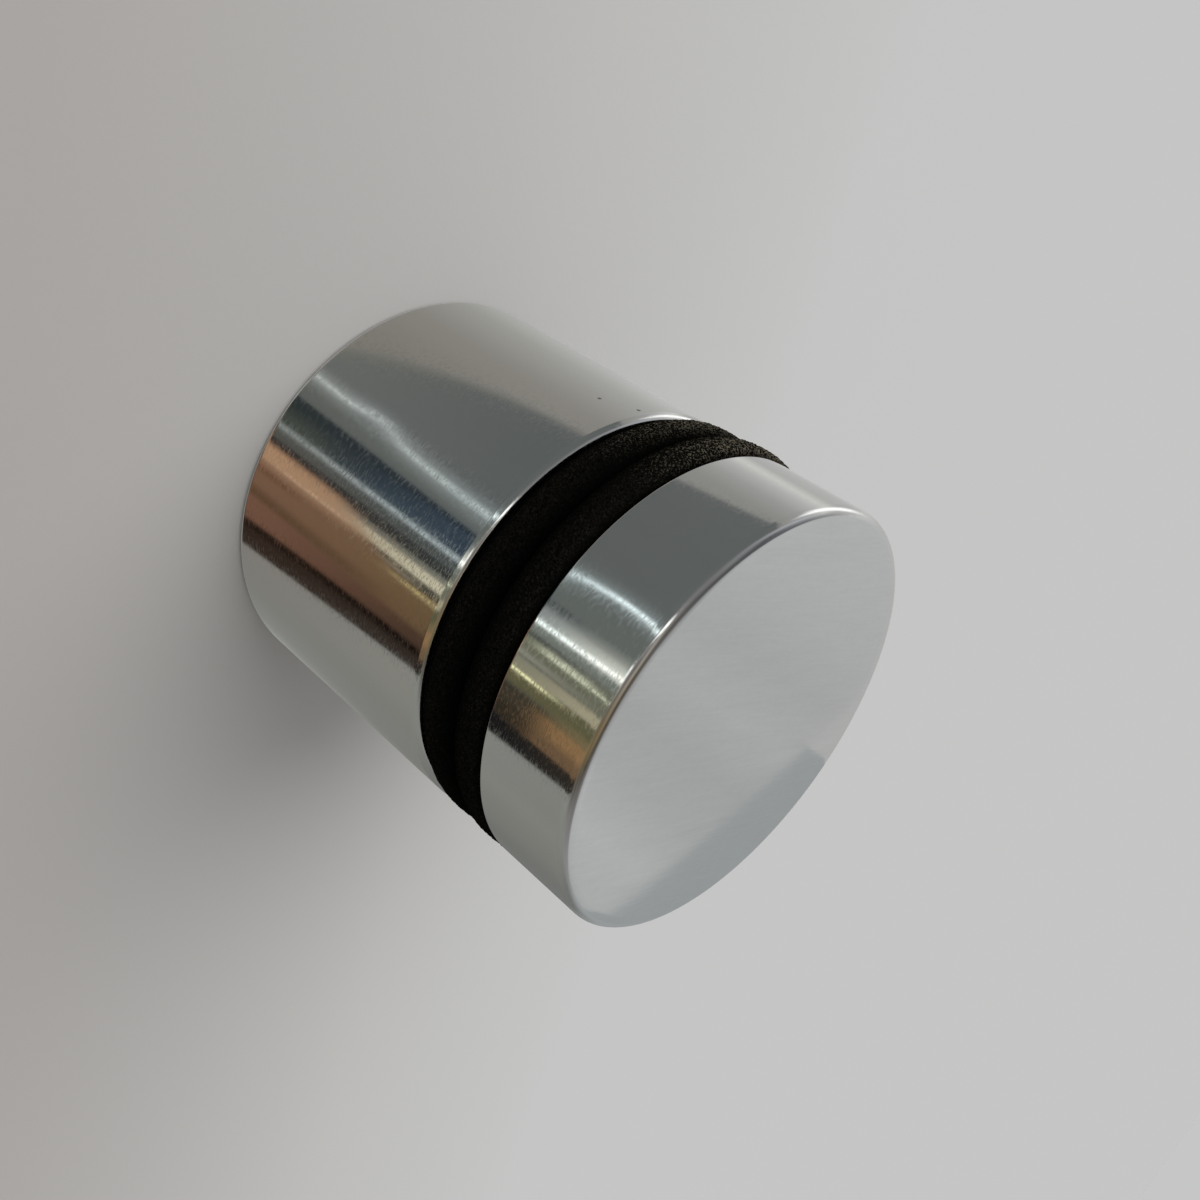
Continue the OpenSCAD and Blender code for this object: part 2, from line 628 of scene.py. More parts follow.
@dataclass(frozen=True)
class ZincPlate(Finish):
    """Bright zinc on a rolled thread, dulled down in the roots."""

    name: str = "zinc_plate"
    bright: Colour = (0.66, 0.68, 0.70)
    dull: Colour = (0.40, 0.41, 0.40)
    roughness: float = 0.24
    dull_roughness: float = 0.18
    # The radius below which the thread's root is dull, and the softness of that edge.
    root_radius: float = 4.55 * MM
    root_soft: float = 0.3 * MM
    clouds_to_a_metre: float = 900.0
    grains_to_a_metre: float = 9000.0
    grain_depth: float = 2e-6

    def shade(self, graph: Graph) -> bpy.types.Node:
        """Builds the shader, duller towards the roots and in clouds.

        Args:
            graph: the material's empty graph.

        Returns:
            The shader node.
        """
        place = graph.place()
        x, y, _z = graph.split(place)
        cloud = graph.noise(place, self.clouds_to_a_metre, 3.0, 0.6)
        grain = graph.noise(place, self.grains_to_a_metre, 2.0, 0.6)
        root = 1.0 - from_axis(x, y).above(self.root_radius, self.root_soft)
        # Darker and rougher towards the thread's roots, and in clouds.
        darkening = (root * 0.8 + cloud * 0.35).clamped()
        return graph.node("ShaderNodeBsdfPrincipled", None, {
            "Base Color": graph.mix(darkening, self.bright, self.dull),
            "Metallic": 1.0,
            "Roughness": self.roughness + self.dull_roughness * darkening,
            "Normal": graph.relief(grain * self.grain_depth),
        })


# --------------------------------------------------------------------------------------------------
# Solids of rings
# --------------------------------------------------------------------------------------------------


@dataclass(frozen=True)
class Thread:
    """A 60 degree screw thread about the Z axis. Its form is given for a pitch of 1."""

    radius: float
    pitch: float
    form_depth: float = 0.6134
    crest: float = 1 / 8
    root: float = 1 / 4

    @property
    def depth(self) -> float:
        """How far the root lies below the crest."""
        return self.form_depth * self.pitch

    def groove(self, angle: np.ndarray, height: float) -> np.ndarray:
        """How far below the crest the thread's form lies.

        Args:
            angle: the columns' angles.
            height: the height that is asked about.

        Returns:
            From 0 on the crest to 1 at the root, for each angle.
        """
        turn = height / self.pitch - angle / (2 * math.pi)
        saw = np.abs(2 * (turn - np.floor(turn)) - 1)
        return np.clip((saw - self.crest) / (1 - self.crest - self.root), 0, 1)

    def male(self, angle: np.ndarray, height: float) -> np.ndarray:
        """The radius of the screw's surface at each angle."""
        return self.radius - self.depth * self.groove(angle, height)

    def female(self, angle: np.ndarray, height: float, gap: float, drilled: float) -> np.ndarray:
        """The radius of the tapped hole's wall at each angle.

        Args:
            angle: the columns' angles.
            height: the height that is asked about.
            gap: the clearance round the screw.
            drilled: the radius of the hole before it was tapped.

        Returns:
            The wall's radius, never less than the drilled hole's.
        """
        return np.maximum(self.male(angle, height) + gap, drilled)


class RingStack:
    """A solid made as rings of points about the Z axis, each joined to the one before."""

    def __init__(self, columns: int) -> None:
        """Starts a stack.

        Args:
            columns: how many points a ring has, unless a ring says otherwise.
        """
        self.columns = columns
        self.points: list[np.ndarray] = []
        self.counts: list[int] = []
        self.finishes: list[int] = []
        self.poles: list[tuple[int, float, int]] = []

    @staticmethod
    def angles(columns: int) -> np.ndarray:
        """The angle of each column, in radians."""
        return np.arange(columns) * (2 * math.pi / columns)

    def ring(self, radius: Rings, height: Rings, finish: int = 0, columns: int | None = None) -> None:
        """Adds a ring.

        Args:
            radius: its radius, one number or one for each column.
            height: its height, likewise.
            finish: the finish of the band between the ring before and this one.
            columns: how many points it has, if not the stack's own number.
        """
        count = columns or self.columns
        angle = self.angles(count)
        level = np.broadcast_to(height, angle.shape)
        self.points.append(np.stack([radius * np.cos(angle), radius * np.sin(angle), level], 1))
        self.counts.append(count)
        self.finishes.append(finish)

    def arc(self, centre: tuple[float, float], radius: float, start: float, end: float, steps: int,
            finish: int = 0) -> None:
        """Adds the rings of a rounded edge.

        Args:
            centre: the arc's centre, as (radius, height).
            radius: the arc's own radius.
            start: the angle in degrees at which it starts, 0 outward and 90 up.
            end: the angle at which it ends.
            steps: how many bands it has.
            finish: their finish.
        """
        for turn in np.radians(np.linspace(start, end, steps + 1)):
            self.ring(centre[0] + radius * math.cos(turn), centre[1] + radius * math.sin(turn), finish)

    def run(self, first: tuple[float, float], last: tuple[float, float], steps: int,
            finish: int = 0) -> None:
        """Adds rings along a straight line, without the first point.

        Args:
            first: (radius, height) of the ring that is there already.
            last: (radius, height) of the last ring.
            steps: how many bands it has.
            finish: their finish.
        """
        wider, higher = last[0] - first[0], last[1] - first[1]
        for share in np.linspace(0, 1, steps + 1)[1:]:
            self.ring(first[0] + wider * share, first[1] + higher * share, finish)

    def again(self, other: "RingStack", finish: int) -> None:
        """Adds another stack's rings, last one first.

        Args:
            other: the other stack.
            finish: their finish.
        """
        for points in reversed(other.points):
            self.ring(np.hypot(points[:, 0], points[:, 1]), points[:, 2], finish, other.columns)

    def solid(self, name: str, finishes: list[Finish], start_pole: float | None = None,
              end_pole: float | None = None, smooth_below: float = 40.0) -> bpy.types.Object:
        """Joins the rings into a closed mesh.

        Args:
            name: the piece's name.
            finishes: its finishes, in the order that the rings number them.
            start_pole: the height at which the first ring closes on the axis, if it does.
            end_pole: the same for the last ring. With neither, the last ring joins the first.
            smooth_below: edges that bend less than this many degrees are shaded smooth.

        Returns:
            The piece, in the scene.
        """
        offsets = np.concatenate([[0], np.cumsum(self.counts)]).astype(int)
        points = np.concatenate(self.points)
        faces: list[tuple[int, ...]] = []
        marks: list[int] = []
        bands = list(zip(range(len(self.counts) - 1), range(1, len(self.counts))))
        if start_pole is None and end_pole is None:
            bands.append((len(self.counts) - 1, 0))
        for lower, upper in bands:
            new = self._band(offsets[lower], self.counts[lower], offsets[upper], self.counts[upper])
            faces += new
            marks += [self.finishes[upper]] * len(new)
        for ring, pole in ((0, start_pole), (len(self.counts) - 1, end_pole)):
            if pole is not None:
                tip = len(points)
                points = np.vstack([points, [0.0, 0.0, pole]])
                count, base = self.counts[ring], offsets[ring]
                fan = [(base + i, base + (i + 1) % count, tip) for i in range(count)]
                faces += fan if ring else [face[::-1] for face in fan]
                marks += [self.finishes[ring]] * count
        return self._object(name, points, faces, marks, finishes, smooth_below)

    @staticmethod
    def _band(low: int, low_count: int, high: int, high_count: int) -> list[tuple[int, ...]]:
        """Joins two rings, of which one may have a whole number of times the points of the other.

        Args:
            low: the number of the lower ring's first point.
            low_count: how many points it has.
            high: the number of the upper ring's first point.
            high_count: how many points that has.

        Returns:
            The faces between them.
        """
        coarse = min(low_count, high_count)
        low_step, high_step = low_count // coarse, high_count // coarse
        faces = []
        for i in range(coarse):
            lower = [low + (i * low_step + k) % low_count for k in range(low_step + 1)]
            upper = [high + (i * high_step + k) % high_count for k in range(high_step + 1)]
            faces.append(tuple(lower + upper[::-1]))
        return faces

    @staticmethod
    def _object(name: str, points: np.ndarray, faces: list[tuple[int, ...]], marks: list[int],
                finishes: list[Finish], smooth_below: float) -> bpy.types.Object:
        """Makes the object from its points and faces.

        Args:
            name: the piece's name.
            points: where its points are.
            faces: the numbers of each face's points.
            marks: the number of each face's finish.
            finishes: the finishes.
            smooth_below: edges that bend less than this many degrees are shaded smooth.

        Returns:
            The object, in the scene.
        """
        mesh = bpy.data.meshes.new(name)
        mesh.from_pydata(points.tolist(), [], faces)
        for finish in finishes:
            mesh.materials.append(finish.material())
        mesh.polygons.foreach_set("material_index", marks)
        mesh.polygons.foreach_set("use_smooth", [True] * len(faces))
        mesh.set_sharp_from_angle(angle=math.radians(smooth_below))
        mesh.update()
        made = bpy.data.objects.new(name, mesh)
        bpy.context.scene.collection.objects.link(made)
        return made


# --------------------------------------------------------------------------------------------------
# The standoff's pieces
# --------------------------------------------------------------------------------------------------


class Body(Enum):
    """The frame's moving bodies."""

    WALL_SIDE = "wall_side"
    GASKET = "travelling_gasket"
    CAP = "screwed_cap"


def extent(node: str) -> tuple[float, float, float]:
    """A frame node's reach.

    Args:
        node: the node's name.

    Returns:
        Its outside radius, and its lowest and highest point.
    """
    low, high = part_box(node)
    return (high.x - low.x) / 2, low.z, high.z


def settle(piece: bpy.types.Object, node: str, body: Body, slot: Slot) -> bpy.types.Object:
    """Puts a finished piece in a frame node's place.

    Args:
        piece: the piece.
        node: the node that it stands for.
        body: the body that it moves with.
        slot: the record's slot for its finish; not used.

    Returns:
        The same piece.
    """
    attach(piece, body.value)
    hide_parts(node)
    LOG.info("%s: %d faces, rides on %s", piece.name, len(piece.data.polygons), body.value)
    return piece


@dataclass
class ThreadFit:
    """The one thread of the standoff, and how it is cut in a hole."""

    thread: Thread
    gap: float = 0.05 * MM
    countersink: float = 0.6 * MM
    # How wide the fine faces are that go round a mouth.
    collar: float = 1 * MM
    columns: int = 72
    rows_to_a_pitch: int = 14

    @property
    def hole_radius(self) -> float:
        """The largest radius of a tapped hole."""
        return self.thread.radius + self.gap

    @property
    def drilled_radius(self) -> float:
        """The radius of a hole before it is tapped."""
        return self.thread.radius - self.thread.pitch / 2

    @property
    def mouth_radius(self) -> float:
        """The radius of a countersunk mouth."""
        return self.hole_radius + self.countersink

    @property
    def collar_radius(self) -> float:
        """The radius of the fine faces round a mouth."""
        return self.mouth_radius + self.collar

    def tap(self, stack: RingStack, mouth: float, end: float, finish: int) -> None:
        """Adds a tapped wall to a stack, from a countersunk mouth to the thread's end or back out.

        Args:
            stack: the stack.
            mouth: the height of the mouth.
            end: the height of the thread's end.
            finish: its finish.
        """
        angle = RingStack.angles(self.columns)
        inward = 1.0 if end > mouth else -1.0
        length = abs(end - mouth)
        rows = max(2, round(length / self.thread.pitch * self.rows_to_a_pitch))
        for depth in np.linspace(0, length, rows + 1)[1:]:
            height = mouth + inward * depth
            wall = self.thread.female(angle, height, self.gap, self.drilled_radius)
            fade = min(1.0, max(0.0, (length - depth) / self.thread.pitch))
            wall = self.drilled_radius + (wall - self.drilled_radius) * fade
            stack.ring(np.maximum(wall, self.mouth_radius - depth), height, finish, self.columns)


@dataclass
class Barrel:
    """The wall spacer: mirror outside, tapped from both ends."""

    fit: ThreadFit
    columns: int = 360
    wall_edge: float = 0.8 * MM
    gasket_edge: float = 0.85 * MM
    wall_thread: float = 12 * MM
    gasket_thread: float = 19.5 * MM
    # A narrow band beside each rounded edge holds the shading of the flat.
    hold: float = 0.05 * MM
    face_bands: int = 6
    edge_bands: int = 12
    side_bands: int = 24
    nicks: tuple[Nick, ...] = (Nick(-50, 28.0 * MM, 0.20 * MM), Nick(-54.6, 31.8 * MM, 0.22 * MM))

    def build(self) -> bpy.types.Object:
        """Turns the barrel.

        Returns:
            The barrel, in place of its frame node.
        """
        radius, low, high = extent("barrel")
        fit, hold = self.fit, self.hold
        side, bright = 0, 1
        bottom, top = low + self.wall_edge, high - self.gasket_edge
        wall_face, gasket_face = radius - self.wall_edge, radius - self.gasket_edge
        stack = RingStack(self.columns)
        stack.ring(fit.mouth_radius, low, bright, fit.columns)
        stack.ring(fit.collar_radius, low, bright, fit.columns)
        stack.run((fit.collar_radius, low), (wall_face - hold, low), self.face_bands, bright)
        stack.arc((wall_face, bottom), self.wall_edge, -90, 0, self.edge_bands, side)
        stack.ring(radius, bottom + hold, side)
        stack.run((radius, bottom + hold), (radius, top - hold), self.side_bands, side)
        stack.arc((gasket_face, top), self.gasket_edge, 0, 90, self.edge_bands, side)
        stack.ring(gasket_face - hold, high, bright)
        stack.run((gasket_face - hold, high), (fit.collar_radius, high), self.face_bands, bright)
        stack.ring(fit.mouth_radius, high, bright, fit.columns)
        fit.tap(stack, high, high - self.gasket_thread, bright)
        wall_hole = RingStack(fit.columns)
        fit.tap(wall_hole, low, low + self.wall_thread, bright)
        stack.again(wall_hole, bright)
        piece = stack.solid("barrel_body", [TurnedMirror(nicks=self.nicks), TurnedBright()])
        return settle(piece, "barrel", Body.WALL_SIDE, Slot.METAL)


@dataclass
class Cap:
    """The front disc: mirror face and side, with a blind tapped hole in its back."""

    fit: ThreadFit
    columns: int = 360
    gasket_edge: float = 0.2 * MM
    face_edge: float = 0.95 * MM
    # The buff dubs the face off over this width, by this much.
    dubbed_width: float = 0.95 * MM
    dubbed: float = 0.033 * MM
    # The face's innermost ring, which closes on the axis.
    middle: float = 2 * MM
    thread_length: float = 7 * MM
    hold: float = 0.05 * MM
    back_bands: int = 6
    back_edge_bands: int = 6
    side_bands: int = 10
    edge_bands: int = 14
    dubbed_bands: int = 8
    face_bands: int = 12
    scratch_roughness: float = 0.09

    def build(self) -> bpy.types.Object:
        """Turns the cap.

        Returns:
            The cap, in place of its frame node.
        """
        radius, low, high = extent("cap")
        fit, hold = self.fit, self.hold
        side, face, bright = 0, 1, 2
        stack = RingStack(self.columns)
        blind = RingStack(fit.columns)
        fit.tap(blind, low, low + self.thread_length, bright)
        stack.again(blind, bright)
        stack.ring(fit.mouth_radius, low, bright, fit.columns)
        stack.ring(fit.collar_radius, low, bright, fit.columns)
        back, bottom = radius - self.gasket_edge, low + self.gasket_edge
        stack.run((fit.collar_radius, low), (back - hold, low), self.back_bands, bright)
        stack.arc((back, bottom), self.gasket_edge, -90, 0, self.back_edge_bands, side)
        stack.ring(radius, bottom + hold, side)
        slope = math.atan(2 * self.dubbed / self.dubbed_width)
        top = high - self.dubbed - self.face_edge * math.cos(slope)
        stack.run((radius, bottom + hold), (radius, top - hold), self.side_bands, side)
        stack.arc((radius - self.face_edge, top), self.face_edge, 0, 90 - math.degrees(slope),
                  self.edge_bands, side)
        rim = radius - self.face_edge * (1 - math.sin(slope))
        for share in np.linspace(1, 0, self.dubbed_bands + 1)[1:]:
            stack.ring(rim - self.dubbed_width * (1 - share), high - self.dubbed * share * share, face)
        stack.run((rim - self.dubbed_width, high), (self.middle, high), self.face_bands, face)
        drill_point = low + self.thread_length + fit.drilled_radius * DRILL_SLOPE
        finishes = [TurnedMirror("cap_mirror", scratch_roughness=self.scratch_roughness), FacedMirror(),
                    TurnedBright()]
        piece = stack.solid("cap_disc", finishes, drill_point, high)
        return settle(piece, "cap", Body.CAP, Slot.METAL)


@dataclass
class Stud:
    """The threaded stud, with a hexagon socket in the end that screws into the barrel."""

    fit: ThreadFit
    columns: int = 96
    rows_to_a_pitch: int = 16
    socket_flats: float = 5 * MM
    socket_depth: float = 5 * MM
    # The bevel round the socket's mouth, and the rounding at its foot.
    socket_bevel: float = 0.3 * MM
    socket_foot: float = 0.05 * MM
    # The innermost rings of the socket's foot and of the plain end, as shares of the ring before them.
    foot_share: float = 0.98
    end_share: float = 0.6
    # Edges that bend less than this many degrees are smooth, so that the thread's flanks are.
    smooth_below: float = 50.0

    def build(self) -> bpy.types.Object:
        """Rolls the stud's thread and cuts its socket.

        Returns:
            The stud, in place of its frame node.
        """
        radius, low, high = extent("stud")
        thread = Thread(radius, self.fit.thread.pitch)
        angle = RingStack.angles(self.columns)
        sixth = math.pi / 3
        hexagon = self.socket_flats / 2 / np.cos((angle + sixth / 2) % sixth - sixth / 2)
        foot = low + self.socket_depth
        stack = RingStack(self.columns)
        stack.ring(hexagon * self.foot_share, foot)
        stack.ring(hexagon, foot - self.socket_foot)
        stack.ring(hexagon, low + self.socket_bevel)
        stack.ring(hexagon + self.socket_bevel, low)
        tip = radius - thread.depth
        rows = round((high - low) / thread.pitch * self.rows_to_a_pitch)
        for height in np.linspace(low, high, rows + 1):
            bevel = tip + min(height - low, high - height)
            stack.ring(np.minimum(thread.male(angle, height), bevel), height)
        stack.ring(tip * self.end_share, high)
        drill_point = foot + self.socket_flats / 2 * DRILL_SLOPE
        piece = stack.solid("stud_screw", [ZincPlate()], drill_point, high, self.smooth_below)
        return settle(piece, "stud", Body.CAP, Slot.ZINC)


@dataclass
class Sleeve:
    """The nylon bush that stands round the stud."""

    wall: float = 1.65 * MM
    bevel: float = 0.4 * MM
    bore_bevel: float = 0.15 * MM
    # The outer bevels start and end this many degrees short of a full rounding.
    bevel_short: float = 10.0
    columns: int = 144
    end_bands: int = 3
    bevel_bands: int = 5
    side_bands: int = 12
    bore_bands: int = 6

    def build(self) -> bpy.types.Object:
        """Moulds the bush, with its bevels a little rounded.

        Returns:
            The bush, in place of its frame node.
        """
        radius, low, high = extent("glass_sleeve")
        bore = radius - self.wall
        mouth, shoulder = bore + self.bore_bevel, radius - self.bevel
        start, end = self.bevel_short, 90 - self.bevel_short
        stack = RingStack(self.columns)
        stack.ring(mouth, low)
        stack.run((mouth, low), (shoulder, low), self.end_bands)
        stack.arc((shoulder, low + self.bevel), self.bevel, -end, -start, self.bevel_bands)
        stack.run((radius, low + self.bevel), (radius, high - self.bevel), self.side_bands)
        stack.arc((shoulder, high - self.bevel), self.bevel, start, end, self.bevel_bands)
        stack.ring(shoulder, high)
        stack.run((shoulder, high), (mouth, high), self.end_bands)
        stack.ring(bore, high - self.bore_bevel)
        stack.run((bore, high - self.bore_bevel), (bore, low + self.bore_bevel), self.bore_bands)
        piece = stack.solid("sleeve_bush", [MouldedNylon()])
        return settle(piece, "glass_sleeve", Body.WALL_SIDE, Slot.NYLON)


@dataclass
class Gasket:
    """A sponge ring, cut with a knife: its edge bulges, and its cells leave it ragged."""

    node: str
    body: Body
    seed: int
    panel_side_up: bool
    # How much smaller it was cut, and how far it sits to one side.
    tight: float = 0.0
    aside: float = 0.0
    metal_edge: float = 2.0 * MM
    panel_edge: float = 2.0 * MM
    bore_radius: float = 7.8 * MM
    # How ragged the cut is, how far its line wanders, and how many waves there are in that at most.
    ragged: float = 0.045 * MM
    uneven: float = 0.10 * MM
    most_waves: int = 14
    # The cut starts to be ragged this far in from the outside, and is so in full this much farther out.
    ragged_from: float = 3 * MM
    ragged_fade: float = 1.5 * MM
    # Its points also sink in by this share of the raggedness, in full on the flat faces and less between.
    sunk: float = 0.5
    sunk_between: float = 0.4
    columns: int = 720
    face_bands: int = 18
    edge_bands: int = 8
    side_bands: int = 8
    bore_bands: int = 6

    def build(self) -> bpy.types.Object:
        """Cuts the ring.

        Returns:
            The ring, in place of its frame node.
        """
        radius, low, high = extent(self.node)
        radius -= self.tight
        lower, upper = self.metal_edge, self.panel_edge
        if not self.panel_side_up:
            lower, upper = upper, lower
        bore = self.bore_radius
        flat = RingStack(4)
        flat.ring(bore, low)
        flat.run((bore, low), (radius - lower, low), self.face_bands)
        flat.arc((radius - lower, low + lower), lower, -90, 0, self.edge_bands)
        flat.run((radius, low + lower), (radius, high - upper), self.side_bands)
        flat.arc((radius - upper, high - upper), upper, 0, 90, self.edge_bands)
        flat.run((radius - upper, high), (bore, high), self.face_bands)
        flat.run((bore, high), (bore, low), self.bore_bands)
        stack = RingStack(self.columns)
        outline = [(float(points[0, 0]), float(points[0, 2])) for points in flat.points][:-1]
        for rough_radius, rough_height in self._cut(outline, radius, low, high):
            stack.ring(rough_radius, rough_height)
        piece = stack.solid(self.node + "_sponge", [SpongeRubber()], smooth_below=180.0)
        piece.data.transform(Matrix.Translation((self.aside, 0.0, 0.0)))
        return settle(piece, self.node, self.body, Slot.SPONGE)

    def _cut(self, outline: list[tuple[float, float]], radius: float, low: float,
             high: float) -> list[tuple[np.ndarray, np.ndarray]]:
        """Roughens the outline's rings where they show.

        Args:
            outline: (radius, height) of each ring.
            radius: the outside radius.
            low: the lower face's height.
            high: the upper face's height.

        Returns:
            The radius and height of each ring's points.
        """
        chance = np.random.default_rng(self.seed)
        angle = RingStack.angles(self.columns)
        waves = [(count, chance.uniform(0, 2 * math.pi), chance.uniform(0.4, 1.0) / count)
                 for count in range(2, self.most_waves + 1)]
        slow = sum(size * np.cos(count * angle + phase) for count, phase, size in waves)
        rings = []
        for ring_radius, ring_height in outline:
            shows = (ring_radius - radius + self.ragged_from) / self.ragged_fade
            shows = min(1.0, max(0.0, shows))
            fine = chance.normal(0.0, 1.0, self.columns) * self.ragged * shows
            sunk = np.minimum(0.0, chance.normal(0.0, self.sunk, self.columns)) * self.ragged * shows
            on_face = min(ring_height - low, high - ring_height) < 0.02 * (high - low)
            upward = 1.0 if ring_height > (low + high) / 2 else -1.0
            moved = ring_radius + shows * self.uneven * slow * 0.5 + fine
            rings.append((moved, ring_height + upward * sunk * (1.0 if on_face else self.sunk_between)))
        return rings


# --------------------------------------------------------------------------------------------------
# The studio
# --------------------------------------------------------------------------------------------------


# A strip's reach ends with one of these where the strip runs on for as far as its tier does.
NEAR, FAR = -9.0, 9.0


@dataclass(frozen=True)
class Edge:
    """Where one thing ends in the room that the metal mirrors, as an azimuth that leans with depth.

    The azimuth is in degrees from the front, counter-clockwise from above, at depth 0. It shifts by lean for
    one unit of depth and by curl for the square of that, and never falls below least. A bulge is (depth,
    width, shift): a smooth kink in the edge.
    """

    azimuth: float
    lean: float = 0.0
    curl: float = 0.0
    bulge: Triple | None = None
    least: float | None = None

    def at(self, depth: Signal) -> Feed:
        """The edge's azimuth at a depth.

        Args:
            depth: the depth in the room.

        Returns:
            Degrees from the front.
        """
        place: Feed = self.azimuth
        if self.curl:
            place = (depth * self.curl + self.lean) * depth + place
        elif self.lean:
            place = depth * self.lean + place
        if self.bulge is not None:
            middle, width, shift = self.bulge
            away = (depth - middle) * (1.0 / width)
            place = (-(away * away)).math("EXPONENT") * shift + place
        if self.least is not None:
            place = place.math("MAXIMUM", self.least)
        return place


@dataclass(frozen=True)
class Strip:
    """Something in the room between two edges, seen in the metal as a band along the axis.

    Its colour runs from near, at the tier's near depth, to far. It shows between two depths, and glint is how
    much fine fibres break it up.
    """

    start: Edge
    end: Edge
    near: Colour
    far: Colour
    soft: float = 0.6
    reach: tuple[float, float] = (NEAR, FAR)
    fade: float = 0.05
    glint: float = 0.0
    end_soft: float | None = None

    def paint(self, graph: Graph, under: Feed, azimuth: Signal, depth: Signal, share: Signal,
              fibres: Signal) -> Feed:
        """Lays the strip over what is painted already.

        Args:
            graph: the world's graph.
            under: the colour so far.
            azimuth: degrees from the front.
            depth: the depth in the room.
            share: how far the depth is from the tier's near end to its far end.
            fibres: noise from 0 to 1 that is finer than any strip.

        Returns:
            The new colour.
        """
        inside = azimuth.above(self.start.at(depth), self.soft)
        inside = inside * (1.0 - azimuth.above(self.end.at(depth), self.end_soft or self.soft))
        if self.reach[0] > NEAR:
            inside = inside * depth.above(self.reach[0], self.fade)
        if self.reach[1] < FAR:
            inside = inside * (1.0 - depth.above(self.reach[1], self.fade))
        if self.glint:
            inside = inside * (fibres * self.glint + (1.0 - self.glint))
        colour: Feed = self.near
        if self.far != self.near:
            colour = graph.mix(share, self.near, self.far)
        return graph.mix(inside, under, colour)


def on_ramp(azimuth: Signal) -> Signal:
    """The place on a ramp that goes all round, from 0 at -180 degrees to 1 at 180 degrees."""
    return (azimuth + 180.0) * (1.0 / 360.0)


def all_round(tones: list[tuple[float, Colour]]) -> list[tuple[float, Colour]]:
    """The stops of a ramp that goes all round, from (azimuth, colour) pairs."""
    return [((turn + 180) / 360, colour) for turn, colour in tones]


@dataclass(frozen=True)
class Tier:
    """The part of the room that one piece mirrors: bare paper all round, and strips over it."""

    near_depth: float
    far_depth: float
    # (azimuth, near colour, far colour) of the paper.
    paper: tuple[tuple[float, Colour, Colour], ...]
    strips: tuple[Strip, ...]

    def paint(self, graph: Graph, azimuth: Signal, depth: Signal, fibres: Signal) -> Feed:
        """Paints the tier.

        Args:
            graph: the world's graph.
            azimuth: degrees from the front.
            depth: the depth in the room.
            fibres: fine noise from 0 to 1.

        Returns:
            The tier's colour.
        """
        share = ((depth - self.near_depth) * (1.0 / (self.far_depth - self.near_depth))).clamped()
        place = on_ramp(azimuth)
        near = graph.ramp(place, all_round([(turn, tone) for turn, tone, _far in self.paper]))
        far = graph.ramp(place, all_round([(turn, tone) for turn, _near, tone in self.paper]))
        colour: Feed = graph.mix(share, near, far)
        for strip in self.strips:
            colour = strip.paint(graph, colour, azimuth, depth, share, fibres)
        return colour


